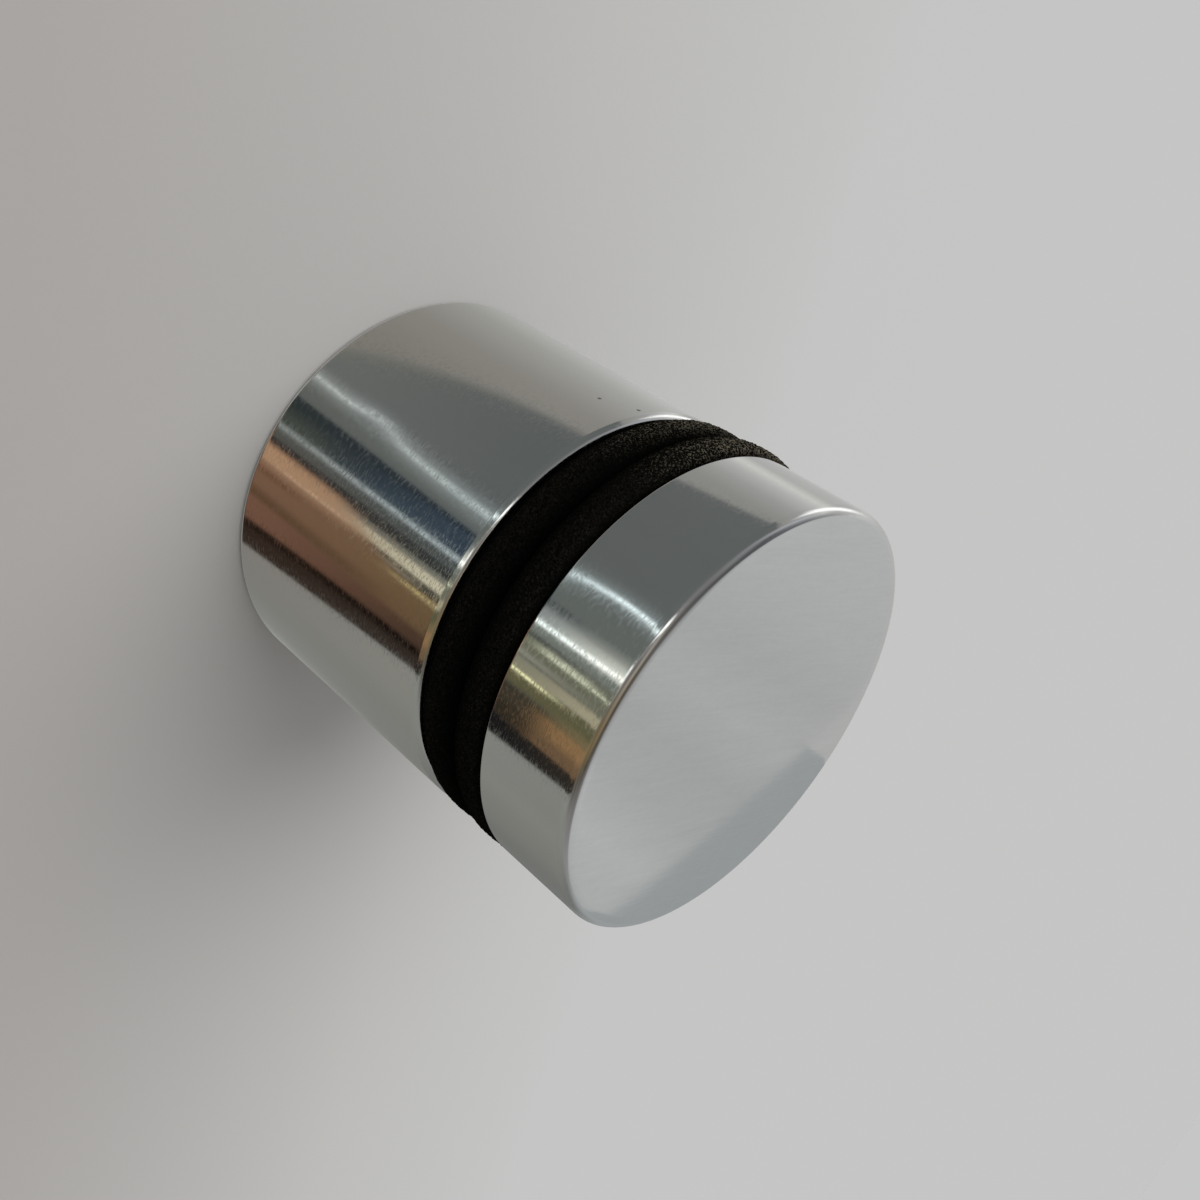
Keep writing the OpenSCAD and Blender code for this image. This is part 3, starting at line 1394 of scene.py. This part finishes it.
# What the barrel mirrors, from the left of the front to its right, each strip over the ones before it.
BARREL_TIER = Tier(
    0.0, 0.85,
    (
        (-180, (0.60, 0.60, 0.59), (0.50, 0.50, 0.485)),
        (-155, (0.52, 0.52, 0.51), (0.41, 0.41, 0.395)),
        (-134, (0.43, 0.427, 0.41), (0.365, 0.362, 0.335)),
        (-113, (0.33, 0.325, 0.305), (0.295, 0.29, 0.265)),
        (-92, (0.262, 0.25, 0.226), (0.250, 0.238, 0.210)),
        (-70, (0.247, 0.235, 0.208), (0.24, 0.227, 0.20)),
        (-40, (0.24, 0.225, 0.19), (0.225, 0.212, 0.178)),
        (85, (0.243, 0.239, 0.211), (0.223, 0.208, 0.186)),
        (120, (0.215, 0.219, 0.197), (0.223, 0.223, 0.204)),
        (137, (0.208, 0.211, 0.193), (0.231, 0.235, 0.215)),
        (150, (0.21, 0.214, 0.192), (0.28, 0.284, 0.262)),
        (165, (0.22, 0.222, 0.205), (0.35, 0.355, 0.33)),
        (180, (0.30, 0.30, 0.28), (0.50, 0.50, 0.48)),
    ),
    (
        # The grey wall, and the lamp's streak down it.
        Strip(Edge(-77.8, 9.2, 28.5), Edge(65.5, 2.0, 5.5),
              (0.108, 0.118, 0.116), (0.135, 0.141, 0.132), 2.6),
        Strip(Edge(-10, -3.5, -6.5), Edge(-1.6, -5), (0.118, 0.132, 0.124), (0.118, 0.124, 0.110), 3.0),
        Strip(Edge(-17.5, -3.5, -6.5, (0.6, 0.11, -5.5)), Edge(-7.5, -3.5, -6.5, (0.6, 0.11, -4.0)),
              (0.22, 0.25, 0.245), (0.22, 0.23, 0.22), 3.0, glint=0.4),
        Strip(Edge(-14.2, -3.5, -6.5, (0.6, 0.11, -5.5)), Edge(-11, -3.5, -6.5, (0.6, 0.11, -4.5)),
              (0.72, 0.82, 0.80), (0.60, 0.64, 0.61), 1.4, glint=0.85),
        # The dark doorway, with a blue edge and a green one.
        Strip(Edge(-1.6, -5), Edge(12, 0), (0.0245, 0.0345, 0.046), (0.027, 0.033, 0.034), 0.6),
        Strip(Edge(3.5), Edge(13), (0.06, 0.066, 0.053), (0.06, 0.066, 0.053), 4.0, (0.68, FAR), 0.12),
        Strip(Edge(1.0), Edge(12.5), (0.045, 0.07, 0.10), (0.03, 0.04, 0.045), 1.2, (NEAR, 0.6), 0.2, 1.0),
        Strip(Edge(7.0), Edge(12.5), (0.06, 0.085, 0.11), (0.045, 0.06, 0.07), 2.2,
              (0.05, 0.62), 0.1, 0.8),
        Strip(Edge(12.5, -1), Edge(15.3, -1), (0.54, 0.63, 0.64), (0.36, 0.385, 0.36), 0.8, glint=0.8),
        Strip(Edge(15.6), Edge(20.2), (0.066, 0.076, 0.072), (0.08, 0.08, 0.07), 0.7),
        Strip(Edge(20.3), Edge(46), (0.034, 0.039, 0.038), (0.035, 0.031, 0.028), 0.5),
        # The window's side, which only the front of the barrel shows.
        Strip(Edge(25.8), Edge(29.0), (0.156, 0.159, 0.132), (0.12, 0.12, 0.10), 0.6, (NEAR, 0.45), 0.06),
        Strip(Edge(28.8), Edge(34.3), (0.66, 0.61, 0.44), (0.34, 0.30, 0.21), 0.6, (NEAR, 0.46), 0.06, 0.3),
        Strip(Edge(34.3), Edge(36.4), (0.072, 0.068, 0.047), (0.072, 0.068, 0.047), 0.4, (NEAR, 0.32), 0.05),
        Strip(Edge(36.4), Edge(38.3), (0.24, 0.22, 0.17), (0.24, 0.22, 0.17), 0.4, (0.08, 0.36), 0.05),
        # A warm shape, and the dark one beside it.
        Strip(Edge(38.9, 6, -60, least=24.2), Edge(66, 2, 5.5),
              (0.141, 0.089, 0.045), (0.179, 0.098, 0.060), 0.6),
        Strip(Edge(39.4), Edge(41.6), (0.55, 0.44, 0.20), (0.55, 0.44, 0.20), 0.4, (NEAR, 0.16), 0.05, 0.5),
        Strip(Edge(38, 6, -60, least=25.5), Edge(35), (0.30, 0.18, 0.105), (0.43, 0.262, 0.152), 1.2,
              (0.36, FAR), 0.10, 0.15),
        Strip(Edge(32.8), Edge(34.6), (0.556, 0.362, 0.235), (0.556, 0.362, 0.235), 0.6,
              (0.48, 0.84), 0.06, 0.3),
        Strip(Edge(35), Edge(37.5), (0.263, 0.150, 0.089), (0.263, 0.150, 0.089), 1.6, (0.42, FAR), 0.1),
        Strip(Edge(39), Edge(42), (0.138, 0.068, 0.038), (0.138, 0.068, 0.038), 1.0, (0.72, FAR), 0.08),
        Strip(Edge(51), Edge(58), (0.108, 0.064, 0.037), (0.103, 0.057, 0.031), 2.2, (0.2, FAR), 0.15),
        Strip(Edge(57), Edge(67, 2, 5.5), (0.068, 0.039, 0.025), (0.168, 0.085, 0.054), 1.6),
        Strip(Edge(65.5, 2, 5.5), Edge(77.4, 9, 3.1), (0.018, 0.0135, 0.011), (0.027, 0.0165, 0.0115), 0.9),
        Strip(Edge(65, 2, 5.5), Edge(70, 5, 4), (0.0075, 0.005, 0.0035), (0.018, 0.011, 0.0075), 1.4),
        Strip(Edge(69, 4, 4), Edge(76.5, 9, 3.1), (0.05, 0.036, 0.028), (0.04, 0.025, 0.018), 1.2, glint=1.0),
    ),
)

# What the cap's side mirrors.
CAP_TIER = Tier(
    -0.55, -0.95,
    (
        (-180, (0.46, 0.46, 0.45), (0.46, 0.46, 0.45)),
        (-163, (0.56, 0.555, 0.545), (0.56, 0.555, 0.545)),
        (-150, (0.455, 0.45, 0.445), (0.455, 0.45, 0.445)),
        (-137, (0.42, 0.415, 0.405), (0.43, 0.43, 0.41)),
        (-128, (0.62, 0.62, 0.59), (0.62, 0.62, 0.59)),
        (-120, (0.46, 0.46, 0.44), (0.47, 0.475, 0.46)),
        (-109, (0.335, 0.335, 0.32), (0.335, 0.335, 0.33)),
        (-97, (0.275, 0.273, 0.255), (0.275, 0.273, 0.255)),
        (-75, (0.243, 0.243, 0.223), (0.243, 0.243, 0.223)),
        (80, (0.24, 0.24, 0.22), (0.235, 0.239, 0.215)),
        (100, (0.231, 0.235, 0.211), (0.226, 0.23, 0.206)),
        (120, (0.208, 0.211, 0.189), (0.205, 0.208, 0.187)),
        (137, (0.176, 0.18, 0.166), (0.178, 0.182, 0.17)),
        (180, (0.175, 0.18, 0.172), (0.178, 0.183, 0.176)),
    ),
    (
        Strip(Edge(-77.3, 15.5), Edge(64.5), (0.116, 0.124, 0.121), (0.116, 0.126, 0.122), 0.9),
        Strip(Edge(-10), Edge(3), (0.118, 0.132, 0.121), (0.122, 0.135, 0.122), 3.0),
        Strip(Edge(1.0, 55.3, 35), Edge(11.0, 55.3, 35), (0.172, 0.197, 0.193), (0.172, 0.197, 0.193), 2.6,
              glint=0.3),
        Strip(Edge(4.9, 55.3, 35), Edge(7.3, 55.3, 35), (1.2, 1.4, 1.42), (1.4, 1.6, 1.57), 0.8, glint=0.7),
        # A doorway's foot, and the light that fans out from its top.
        Strip(Edge(5.5), Edge(15), (0.227, 0.243, 0.235), (0.337, 0.352, 0.30), 3.0),
        Strip(Edge(2.7), Edge(5.4), (0.041, 0.052, 0.055), (0.041, 0.052, 0.055), 0.4, (-0.66, FAR), 0.05,
              end_soft=2.6),
        Strip(Edge(9.5), Edge(15), (0.263, 0.294, 0.281), (0.727, 0.743, 0.638), 2.5, glint=0.2),
        Strip(Edge(15.8), Edge(20), (0.153, 0.172, 0.147), (0.153, 0.172, 0.147), 0.6),
        Strip(Edge(14.6, 2.6), Edge(16.8, 2.6), (1.05, 1.15, 1.1), (1.25, 1.25, 1.15), 0.5),
        Strip(Edge(20), Edge(22.2), (0.060, 0.068, 0.062), (0.135, 0.141, 0.108), 0.5),
        Strip(Edge(22.2), Edge(30), (0.135, 0.138, 0.096), (0.135, 0.138, 0.096), 0.5),
        Strip(Edge(22.5), Edge(25.6), (0.68, 0.71, 0.52), (0.68, 0.71, 0.52), 0.5, (-0.86, -0.6), 0.04, 0.4),
        Strip(Edge(24.2), Edge(25.4), (0.62, 0.64, 0.47), (0.62, 0.64, 0.47), 0.3, (NEAR, -0.6), 0.04),
        Strip(Edge(29.5), Edge(32), (0.247, 0.247, 0.20), (0.141, 0.141, 0.105), 0.6),
        Strip(Edge(32), Edge(33), (0.10, 0.10, 0.08), (0.14, 0.14, 0.10), 0.4),
        Strip(Edge(33), Edge(38.2), (0.231, 0.223, 0.159), (0.388, 0.352, 0.231), 0.6, glint=0.15),
        Strip(Edge(38.4), Edge(46.5), (0.103, 0.096, 0.05), (0.103, 0.096, 0.05), 0.5),
        Strip(Edge(38.8), Edge(40.2), (1.2, 1.17, 0.68), (0.75, 0.72, 0.42), 0.4, (-0.74, FAR), 0.05, 0.2),
        Strip(Edge(46.5), Edge(65), (0.041, 0.035, 0.025), (0.041, 0.035, 0.025), 1.2),
        Strip(Edge(56), Edge(65), (0.026, 0.022, 0.015), (0.026, 0.022, 0.015), 2.0),
        Strip(Edge(48.5), Edge(65), (0.29, 0.169, 0.076), (0.29, 0.169, 0.076), 1.6,
              (NEAR, -0.74), 0.06, 0.2),
        Strip(Edge(45), Edge(49.5), (0.166, 0.133, 0.068), (0.166, 0.133, 0.068), 1.2, (NEAR, -0.80), 0.06),
        Strip(Edge(57), Edge(65), (0.153, 0.096, 0.053), (0.153, 0.096, 0.053), 2.0, (NEAR, -0.74), 0.06),
        Strip(Edge(64.3), Edge(77.6, 4.9), (0.0085, 0.009, 0.0095), (0.026, 0.022, 0.018), 0.6),
    ),
)


@dataclass(frozen=True)
class Belt:
    """The room at one height above the horizon, as (azimuth, brightness, warmth) all round."""

    up: float
    tones: tuple[Triple, ...]

    def paint(self, graph: Graph, azimuth: Signal) -> bpy.types.NodeSocket:
        """Paints the belt.

        Args:
            graph: the world's graph.
            azimuth: degrees from the front.

        Returns:
            The belt's colour.
        """
        tones = [(turn, (tone * (1 + warm), tone, tone * (1 - 1.4 * warm)))
                 for turn, tone, warm in self.tones]
        return graph.ramp(on_ramp(azimuth), all_round(tones))


# What the rounded edges mirror: the walls run up to a dark beam that goes round behind, and the ceiling.
BELTS = (
    Belt(37, (
        (-180, 0.24, 0.0), (-168, 0.13, -0.02), (-158, 0.12, -0.04), (-146, 0.20, -0.03),
        (-126, 0.37, -0.03), (-114, 0.42, -0.03), (-101, 0.36, -0.02), (-88, 0.26, -0.02),
        (-66, 0.155, -0.01), (-54, 0.14, 0.0), (-30, 0.16, 0.0), (-6, 0.20, 0.02), (6, 0.26, 0.05),
        (18, 0.30, 0.06), (30, 0.145, 0.14), (42, 0.125, 0.22), (54, 0.16, 0.36), (66, 0.10, 0.24),
        (78, 0.13, 0.05), (95, 0.225, 0.02), (126, 0.24, 0.02), (145, 0.27, 0.01), (162, 0.22, 0.01),
        (180, 0.28, 0.02))),
    Belt(49, (
        (-180, 0.13, 0.02), (-165, 0.07, 0.0), (-148, 0.085, -0.04), (-120, 0.10, -0.04),
        (-106, 0.18, -0.03), (-88, 0.225, -0.02), (-66, 0.18, 0.0), (-42, 0.18, 0.0), (-6, 0.21, 0.04),
        (6, 0.13, 0.08), (18, 0.15, 0.1), (30, 0.12, 0.18), (42, 0.11, 0.3), (66, 0.11, 0.4),
        (78, 0.07, 0.2), (90, 0.08, 0.04), (102, 0.16, 0.03), (116, 0.20, 0.02), (138, 0.17, 0.02),
        (162, 0.12, 0.03), (180, 0.12, 0.07))),
    Belt(61, (
        (-180, 0.11, 0.06), (-150, 0.09, 0.0), (-114, 0.16, 0.0), (-88, 0.19, 0.0), (-66, 0.165, 0.0),
        (-42, 0.19, 0.01), (-24, 0.28, 0.05), (-6, 0.18, 0.06), (6, 0.14, 0.09), (30, 0.15, 0.16),
        (54, 0.13, 0.34), (78, 0.13, 0.3), (90, 0.10, 0.28), (104, 0.06, 0.22), (140, 0.058, 0.2),
        (164, 0.065, 0.18), (180, 0.10, 0.08))),
    Belt(73, (
        (-180, 0.09, 0.1), (-150, 0.08, 0.04), (-114, 0.12, 0.02), (-66, 0.15, 0.02), (-42, 0.24, 0.05),
        (-26, 0.34, 0.08), (0, 0.26, 0.08), (36, 0.27, 0.13), (66, 0.17, 0.22), (90, 0.18, 0.28),
        (114, 0.14, 0.32), (144, 0.065, 0.26), (180, 0.09, 0.13))),
    Belt(86, (
        (-180, 0.15, 0.1), (-100, 0.16, 0.1), (-50, 0.21, 0.1), (0, 0.28, 0.11), (60, 0.27, 0.12),
        (110, 0.22, 0.14), (180, 0.15, 0.13))),
)


@dataclass(frozen=True)
class Side:
    """One side of a patch of light: its place in degrees, its softness, and its lean for a degree along."""

    at: float
    soft: float
    lean: float = 0.0

    def past(self, across: Signal, along: Signal) -> Signal:
        """How far a direction is past the side.

        Args:
            across: the direction's degrees square to the side.
            along: its degrees along the side.

        Returns:
            0 before the side and 1 past it.
        """
        return across.above(along * self.lean + self.at if self.lean else self.at, self.soft)


@dataclass(frozen=True)
class Patch:
    """A patch of light between a left and a right side, if it has one, and a lower and an upper one."""

    left: Side
    right: Side | None
    lower: Side
    upper: Side

    def share(self, azimuth: Signal, up: Signal) -> Signal:
        """How much of the patch a direction shows.

        Args:
            azimuth: the direction's azimuth.
            up: its height above the horizon.

        Returns:
            1 in the patch and 0 outside it.
        """
        inside = self.left.past(azimuth, up)
        if self.right is not None:
            inside = inside * (1.0 - self.right.past(azimuth, up))
        return inside * self.lower.past(up, azimuth) * (1.0 - self.upper.past(up, azimuth))


# Patches over the walls and the belts, each with its colour.
PATCHES: tuple[tuple[Patch, Colour], ...] = (
    # The wall on the right is lit above the table.
    (Patch(Side(144, 8), None, Side(-16, 7), Side(31, 6)), (0.325, 0.343, 0.345)),
    # The window low on the left, which narrows downward.
    (Patch(Side(-140, 6), Side(-107, 6, 0.25), Side(-41.95, 6, -0.35), Side(19, 4)), (1.15, 1.15, 1.12)),
    # The head of the lamp whose streak runs down the grey wall.
    (Patch(Side(-3, 3, -0.5), Side(11, 3, -0.5), Side(40, 4), Side(64, 5)), (1.2, 1.22, 1.17)),
    # The light in the doorway's top.
    (Patch(Side(5, 1), Side(11, 1), Side(13, 4), Side(33, 4)), (0.90, 0.92, 0.90)),
)


@dataclass(frozen=True)
class Room:
    """The room that the metal mirrors, painted by direction.

    The straight metal mirrors the two tiers, low down. The rounded edges mirror the belts and patches over
    them, and the cap's face the ceiling straight behind. Angles are in degrees.
    """

    # Depth grows by this much for each degree lower, from this much at the horizon, and stays within a limit.
    deeper: float = 0.1
    horizon_depth: float = -4.0
    depth_limit: float = 1.05
    # It also grows by half the square of the azimuth in units of this, so that the tiers part straight.
    bend_turn: float = 153.0
    # The depth that parts the cap's tier from the barrel's, and its softness.
    parting: float = -0.26
    parting_soft: float = 0.04
    # The height from which the rounded edges are looked at, and the one above which the walls are bent.
    seen_from: float = 33.2
    bent_above: float = -28.0
    bent_soft: float = 4.0
    # The height at which the belts take over from the walls, and its softness.
    belts_from: float = 32.0
    belts_soft: float = 6.0
    # The noise that breaks up the strips, its contrast, and the broad one that shades the walls.
    fibres: Triple = (40.0, 40.0, 420.0)
    fibre_contrast: float = 3.2
    clouds: float = 2.6
    cloudiness: float = 0.16
    # The ceiling, by azimuth counted on past 180, where it shows, and how much of its green the others have.
    ceiling: tuple[tuple[float, float], ...] = (
        (166, 0.45), (170, 0.475), (173, 0.42), (176, 0.40), (179, 0.44), (182, 0.415), (185, 0.445),
        (188, 0.465), (194, 0.48))
    ceiling_span: tuple[float, float] = (160.0, 200.0)
    ceiling_patch: Patch = Patch(Side(161, 5), Side(199, 5), Side(55.89, 0.12, -0.19), Side(35.5, 3.5))
    ceiling_tint: float = 0.985

    def paint(self, graph: Graph) -> Feed:
        """Paints the room.

        Args:
            graph: the world's graph.

        Returns:
            The room's colour.
        """
        direction = graph.node("ShaderNodeTexCoord").outputs["Generated"]
        x, y, z = graph.split(direction)
        azimuth = graph.math("ARCTAN2", x, -y) * math.degrees(1.0)
        up = z.math("ARCSINE") * math.degrees(1.0)
        fibres = graph.noise(graph.stretched(direction, self.fibres), 1.0, 1.0, 0.6)
        fibres = ((fibres - 0.5) * self.fibre_contrast + 0.5).clamped()
        cloud = graph.noise(direction, self.clouds, 2.0)
        return self._above(graph, self._walls(graph, azimuth, up, fibres, cloud), azimuth, up)

    def _walls(self, graph: Graph, azimuth: Signal, up: Signal, fibres: Signal,
               cloud: Signal) -> bpy.types.NodeSocket:
        """Paints the walls, which the straight metal mirrors.

        Args:
            graph: the world's graph.
            azimuth: degrees from the front, counter-clockwise from above.
            up: degrees above the horizon.
            fibres: fine noise from 0 to 1.
            cloud: broad noise from 0 to 1.

        Returns:
            Their colour.
        """
        wall = self._straightened(graph, azimuth, up)
        turn = azimuth * (1.0 / self.bend_turn)
        bend = turn * turn * 0.5
        depth = up * -self.deeper + self.horizon_depth + bend
        depth = depth.kept(-self.depth_limit, self.depth_limit)
        barrel = BARREL_TIER.paint(graph, wall, depth, fibres)
        cap = CAP_TIER.paint(graph, wall, depth, fibres)
        walls = graph.mix(1.0 - depth.above(self.parting, self.parting_soft), barrel, cap)
        return graph.shaded(walls, cloud * self.cloudiness + (1.0 - self.cloudiness / 2))

    def _straightened(self, graph: Graph, azimuth: Signal, up: Signal) -> Signal:
        """Bends the walls so that their upright edges run straight over a rounded edge of the metal.

        Args:
            graph: the world's graph.
            azimuth: degrees from the front.
            up: degrees above the horizon.

        Returns:
            The azimuth at which the walls are looked up.
        """
        degree = math.radians(1.0)
        across, along = (azimuth * degree).math("SINE"), (azimuth * degree).math("COSINE")
        level = (up * degree).math("COSINE")
        low, seen = math.cos(math.radians(self.bent_above)), math.cos(math.radians(self.seen_from))
        here = graph.math("ARCTAN2", across * level, along * level + seen)
        there = graph.math("ARCTAN2", across * low, along * low + seen)
        bent = up.above(self.bent_above + self.bent_soft, self.bent_soft)
        return azimuth + (here - there) * bent * (2.0 / degree)

    def _above(self, graph: Graph, walls: Feed, azimuth: Signal, up: Signal) -> Feed:
        """Paints the belts, the patches and the ceiling over the walls.

        Args:
            graph: the world's graph.
            walls: the walls' colour.
            azimuth: degrees from the front.
            up: degrees above the horizon.

        Returns:
            The room's colour.
        """
        belts: Feed = BELTS[0].paint(graph, azimuth)
        for lower, upper in zip(BELTS, BELTS[1:]):
            share = ((up - lower.up) * (1.0 / (upper.up - lower.up))).clamped()
            belts = graph.mix(share, belts, upper.paint(graph, azimuth))
        colour: Feed = graph.mix(up.above(self.belts_from, self.belts_soft), walls, belts)
        for patch, tone in PATCHES:
            colour = graph.mix(patch.share(azimuth, up), colour, tone)
        counted_on = azimuth + (1.0 - azimuth.above(0.0, 0.001)) * 360.0
        first, last = self.ceiling_span
        stops = [((turn - first) / (last - first), (tone * self.ceiling_tint, tone, tone * self.ceiling_tint))
                 for turn, tone in self.ceiling]
        behind = self.ceiling_patch.share(counted_on, up)
        ceiling = graph.ramp((counted_on - first) * (1.0 / (last - first)), stops)
        return graph.mix(behind, colour, ceiling)


@dataclass
class Studio:
    """The floor, the lamp, the mirrored room and the camera."""

    # The camera looks down on the cap from the front, turned on its own axis.
    elevation: float = 33.2
    roll: float = 125.26
    distance: float = 140.97 * MM
    aim_height: float = 30 * MM
    aim_right: float = 2.56 * MM
    aim_up: float = 0.94 * MM
    lens: float = 37.49
    sensor: float = 36.0
    clip_start: float = 5 * MM
    # The floor's painted shade and light: its colour from darker side to paler, and the width over which it
    # changes.
    floor_colours: tuple[Colour, ...] = ((0.465, 0.447, 0.432), (0.59, 0.582, 0.567), (0.645, 0.648, 0.643))
    floor_fade: float = 150 * MM
    # How far the change leans for one unit of X, and how much of it lies behind the axis.
    floor_lean: float = 0.6
    floor_behind: float = 0.4
    # The floor is at its palest from this far out, to either side of which it fades by a share of that.
    floor_pale_from: float = 270 * MM
    floor_pale_fade: float = 0.4
    # Half its side, how far it lies below the wall face, and its tooth: count to a metre, depth, strength.
    floor_reach: float = 6.0
    floor_drop: float = 0.02 * MM
    floor_tooth: Triple = (1400.0, 6e-5, 0.25)
    backdrop: Colour = (0.56, 0.565, 0.562)
    ambient: float = 0.45
    room: Room = Room()
    # The lamp's azimuth from +X and its elevation, its strength and how wide it looks, in degrees.
    lamp_direction: tuple[float, float] = (-165.0, 48.0)
    lamp_strength: float = 1.75
    lamp_width: float = 60.0

    def build(self) -> None:
        """Sets up everything that isn't the object."""
        self._camera()
        self._floor()
        self._lamp()
        self._world()
        bpy.context.scene.view_settings.view_transform = "Standard"

    def _camera(self) -> None:
        """Puts the camera at its angle."""
        tilt, turn = math.radians(self.elevation), math.radians(self.roll)
        back = Vector((0.0, -math.cos(tilt), math.sin(tilt)))
        level = Vector((1.0, 0.0, 0.0))
        over = back.cross(level)
        right = level * math.cos(turn) + over * math.sin(turn)
        up = over * math.cos(turn) - level * math.sin(turn)
        aim = Vector((0.0, 0.0, self.aim_height)) + right * self.aim_right + up * self.aim_up
        data = bpy.data.cameras.new("camera")
        data.lens = self.lens
        data.sensor_width = self.sensor
        data.clip_start = self.clip_start
        camera = bpy.data.objects.new("camera", data)
        turned = Matrix((right, up, back)).transposed().to_4x4()
        camera.matrix_world = Matrix.Translation(aim + back * self.distance) @ turned
        bpy.context.scene.collection.objects.link(camera)
        bpy.context.scene.camera = camera

    def _floor(self) -> None:
        """Lays the floor, which the metal doesn't mirror: it mirrors the room instead."""
        mesh = bpy.data.meshes.new("floor")
        reach = self.floor_reach
        corners = [(x, y, -self.floor_drop)
                   for x, y in ((-reach, -reach), (reach, -reach), (reach, reach), (-reach, reach))]
        mesh.from_pydata(corners, [], [(0, 1, 2, 3)])
        made = bpy.data.objects.new("floor", mesh)
        bpy.context.scene.collection.objects.link(made)
        material = bpy.data.materials.new("floor_card")
        material.use_nodes = True
        graph = Graph(material.node_tree)
        place = graph.place()
        x, y, _z = graph.split(place)
        # Painted shade and light: the floor darkens towards one side and is palest far out.
        shift = self.floor_behind * self.floor_fade
        across = ((y - x * self.floor_lean + shift) * (1.0 / self.floor_fade)).clamped()
        pale_fade = self.floor_pale_from * self.floor_pale_fade
        across = across.math("MAXIMUM", from_axis(x, y).above(self.floor_pale_from, pale_fade))
        colour = graph.ramp(across, list(zip((0.0, 0.5, 1.0), self.floor_colours)))
        count, depth, strength = self.floor_tooth
        normal = graph.relief(graph.noise(place, count, 3.0, 0.6) * depth, strength)
        shader = graph.node("ShaderNodeBsdfDiffuse", None, {"Color": colour, "Normal": normal})
        graph.node("ShaderNodeOutputMaterial", None, {"Surface": shader.outputs[0]})
        mesh.materials.append(material)
        made.visible_glossy = False

    def _lamp(self) -> None:
        """Hangs one wide, distant lamp, which the metal doesn't mirror."""
        azimuth, elevation = map(math.radians, self.lamp_direction)
        level = math.cos(elevation)
        away = Vector((math.cos(azimuth) * level, math.sin(azimuth) * level, math.sin(elevation)))
        data = bpy.data.lights.new("soft_lamp", "SUN")
        data.energy = self.lamp_strength
        data.angle = math.radians(self.lamp_width)
        made = bpy.data.objects.new("soft_lamp", data)
        made.location = away
        made.rotation_euler = away.to_track_quat("Z", "Y").to_euler()
        made.visible_glossy = False
        made.visible_camera = False
        bpy.context.scene.collection.objects.link(made)

    def _world(self) -> None:
        """Makes the world: a pale backdrop, plain light, and the room that the metal mirrors."""
        world = bpy.data.worlds.new("studio")
        bpy.context.scene.world = world
        world.use_nodes = True
        graph = Graph(world.node_tree)
        path = graph.node("ShaderNodeLightPath")
        room = graph.node("ShaderNodeBackground", None, {"Color": self.room.paint(graph)})
        plain = graph.node("ShaderNodeBackground", None, {"Color": (1.0, 1.0, 1.0), "Strength": self.ambient})
        pale = graph.node("ShaderNodeBackground", None, {"Color": self.backdrop})
        lit = graph.node("ShaderNodeMixShader", None, {
            0: graph.signal(path, "Is Glossy Ray"), 1: plain.outputs[0], 2: room.outputs[0]})
        seen = graph.node("ShaderNodeMixShader", None, {
            0: graph.signal(path, "Is Camera Ray"), 1: lit.outputs[0], 2: pale.outputs[0]})
        graph.node("ShaderNodeOutputWorld", None, {"Surface": seen.outputs[0]})


# --------------------------------------------------------------------------------------------------
# The whole
# --------------------------------------------------------------------------------------------------


@dataclass
class Standoff:
    """The whole standoff."""

    pitch: float = 1.5 * MM
    # How much smaller the rear gasket was cut, and how far each gasket sits to one side.
    rear_tight: float = 0.2 * MM
    rear_aside: float = -0.15 * MM
    front_aside: float = -0.25 * MM
    pieces: list[bpy.types.Object] = field(default_factory=list)

    def build(self) -> None:
        """Builds every piece in the order that they go together."""
        stud_radius, _low, _high = extent("stud")
        fit = ThreadFit(Thread(stud_radius, self.pitch))
        makers: list[Barrel | Gasket | Sleeve | Cap | Stud] = [
            Barrel(fit),
            Gasket("rear_gasket", Body.WALL_SIDE, 11, True, self.rear_tight, self.rear_aside),
            Sleeve(),
            Gasket("front_gasket", Body.GASKET, 23, False, 0.0, self.front_aside),
            Cap(fit),
            Stud(fit),
        ]
        for maker in makers:
            self.pieces.append(maker.build())


def main() -> None:
    """Sets up the studio, builds the standoff and reports it."""
    logging.basicConfig(level=logging.INFO, format="%(name)s %(message)s")
    Studio().build()
    standoff = Standoff()
    standoff.build()
    bpy.context.view_layer.update()
    LOG.info("%d pieces", len(standoff.pieces))


if __name__ == "__main__":
    main()
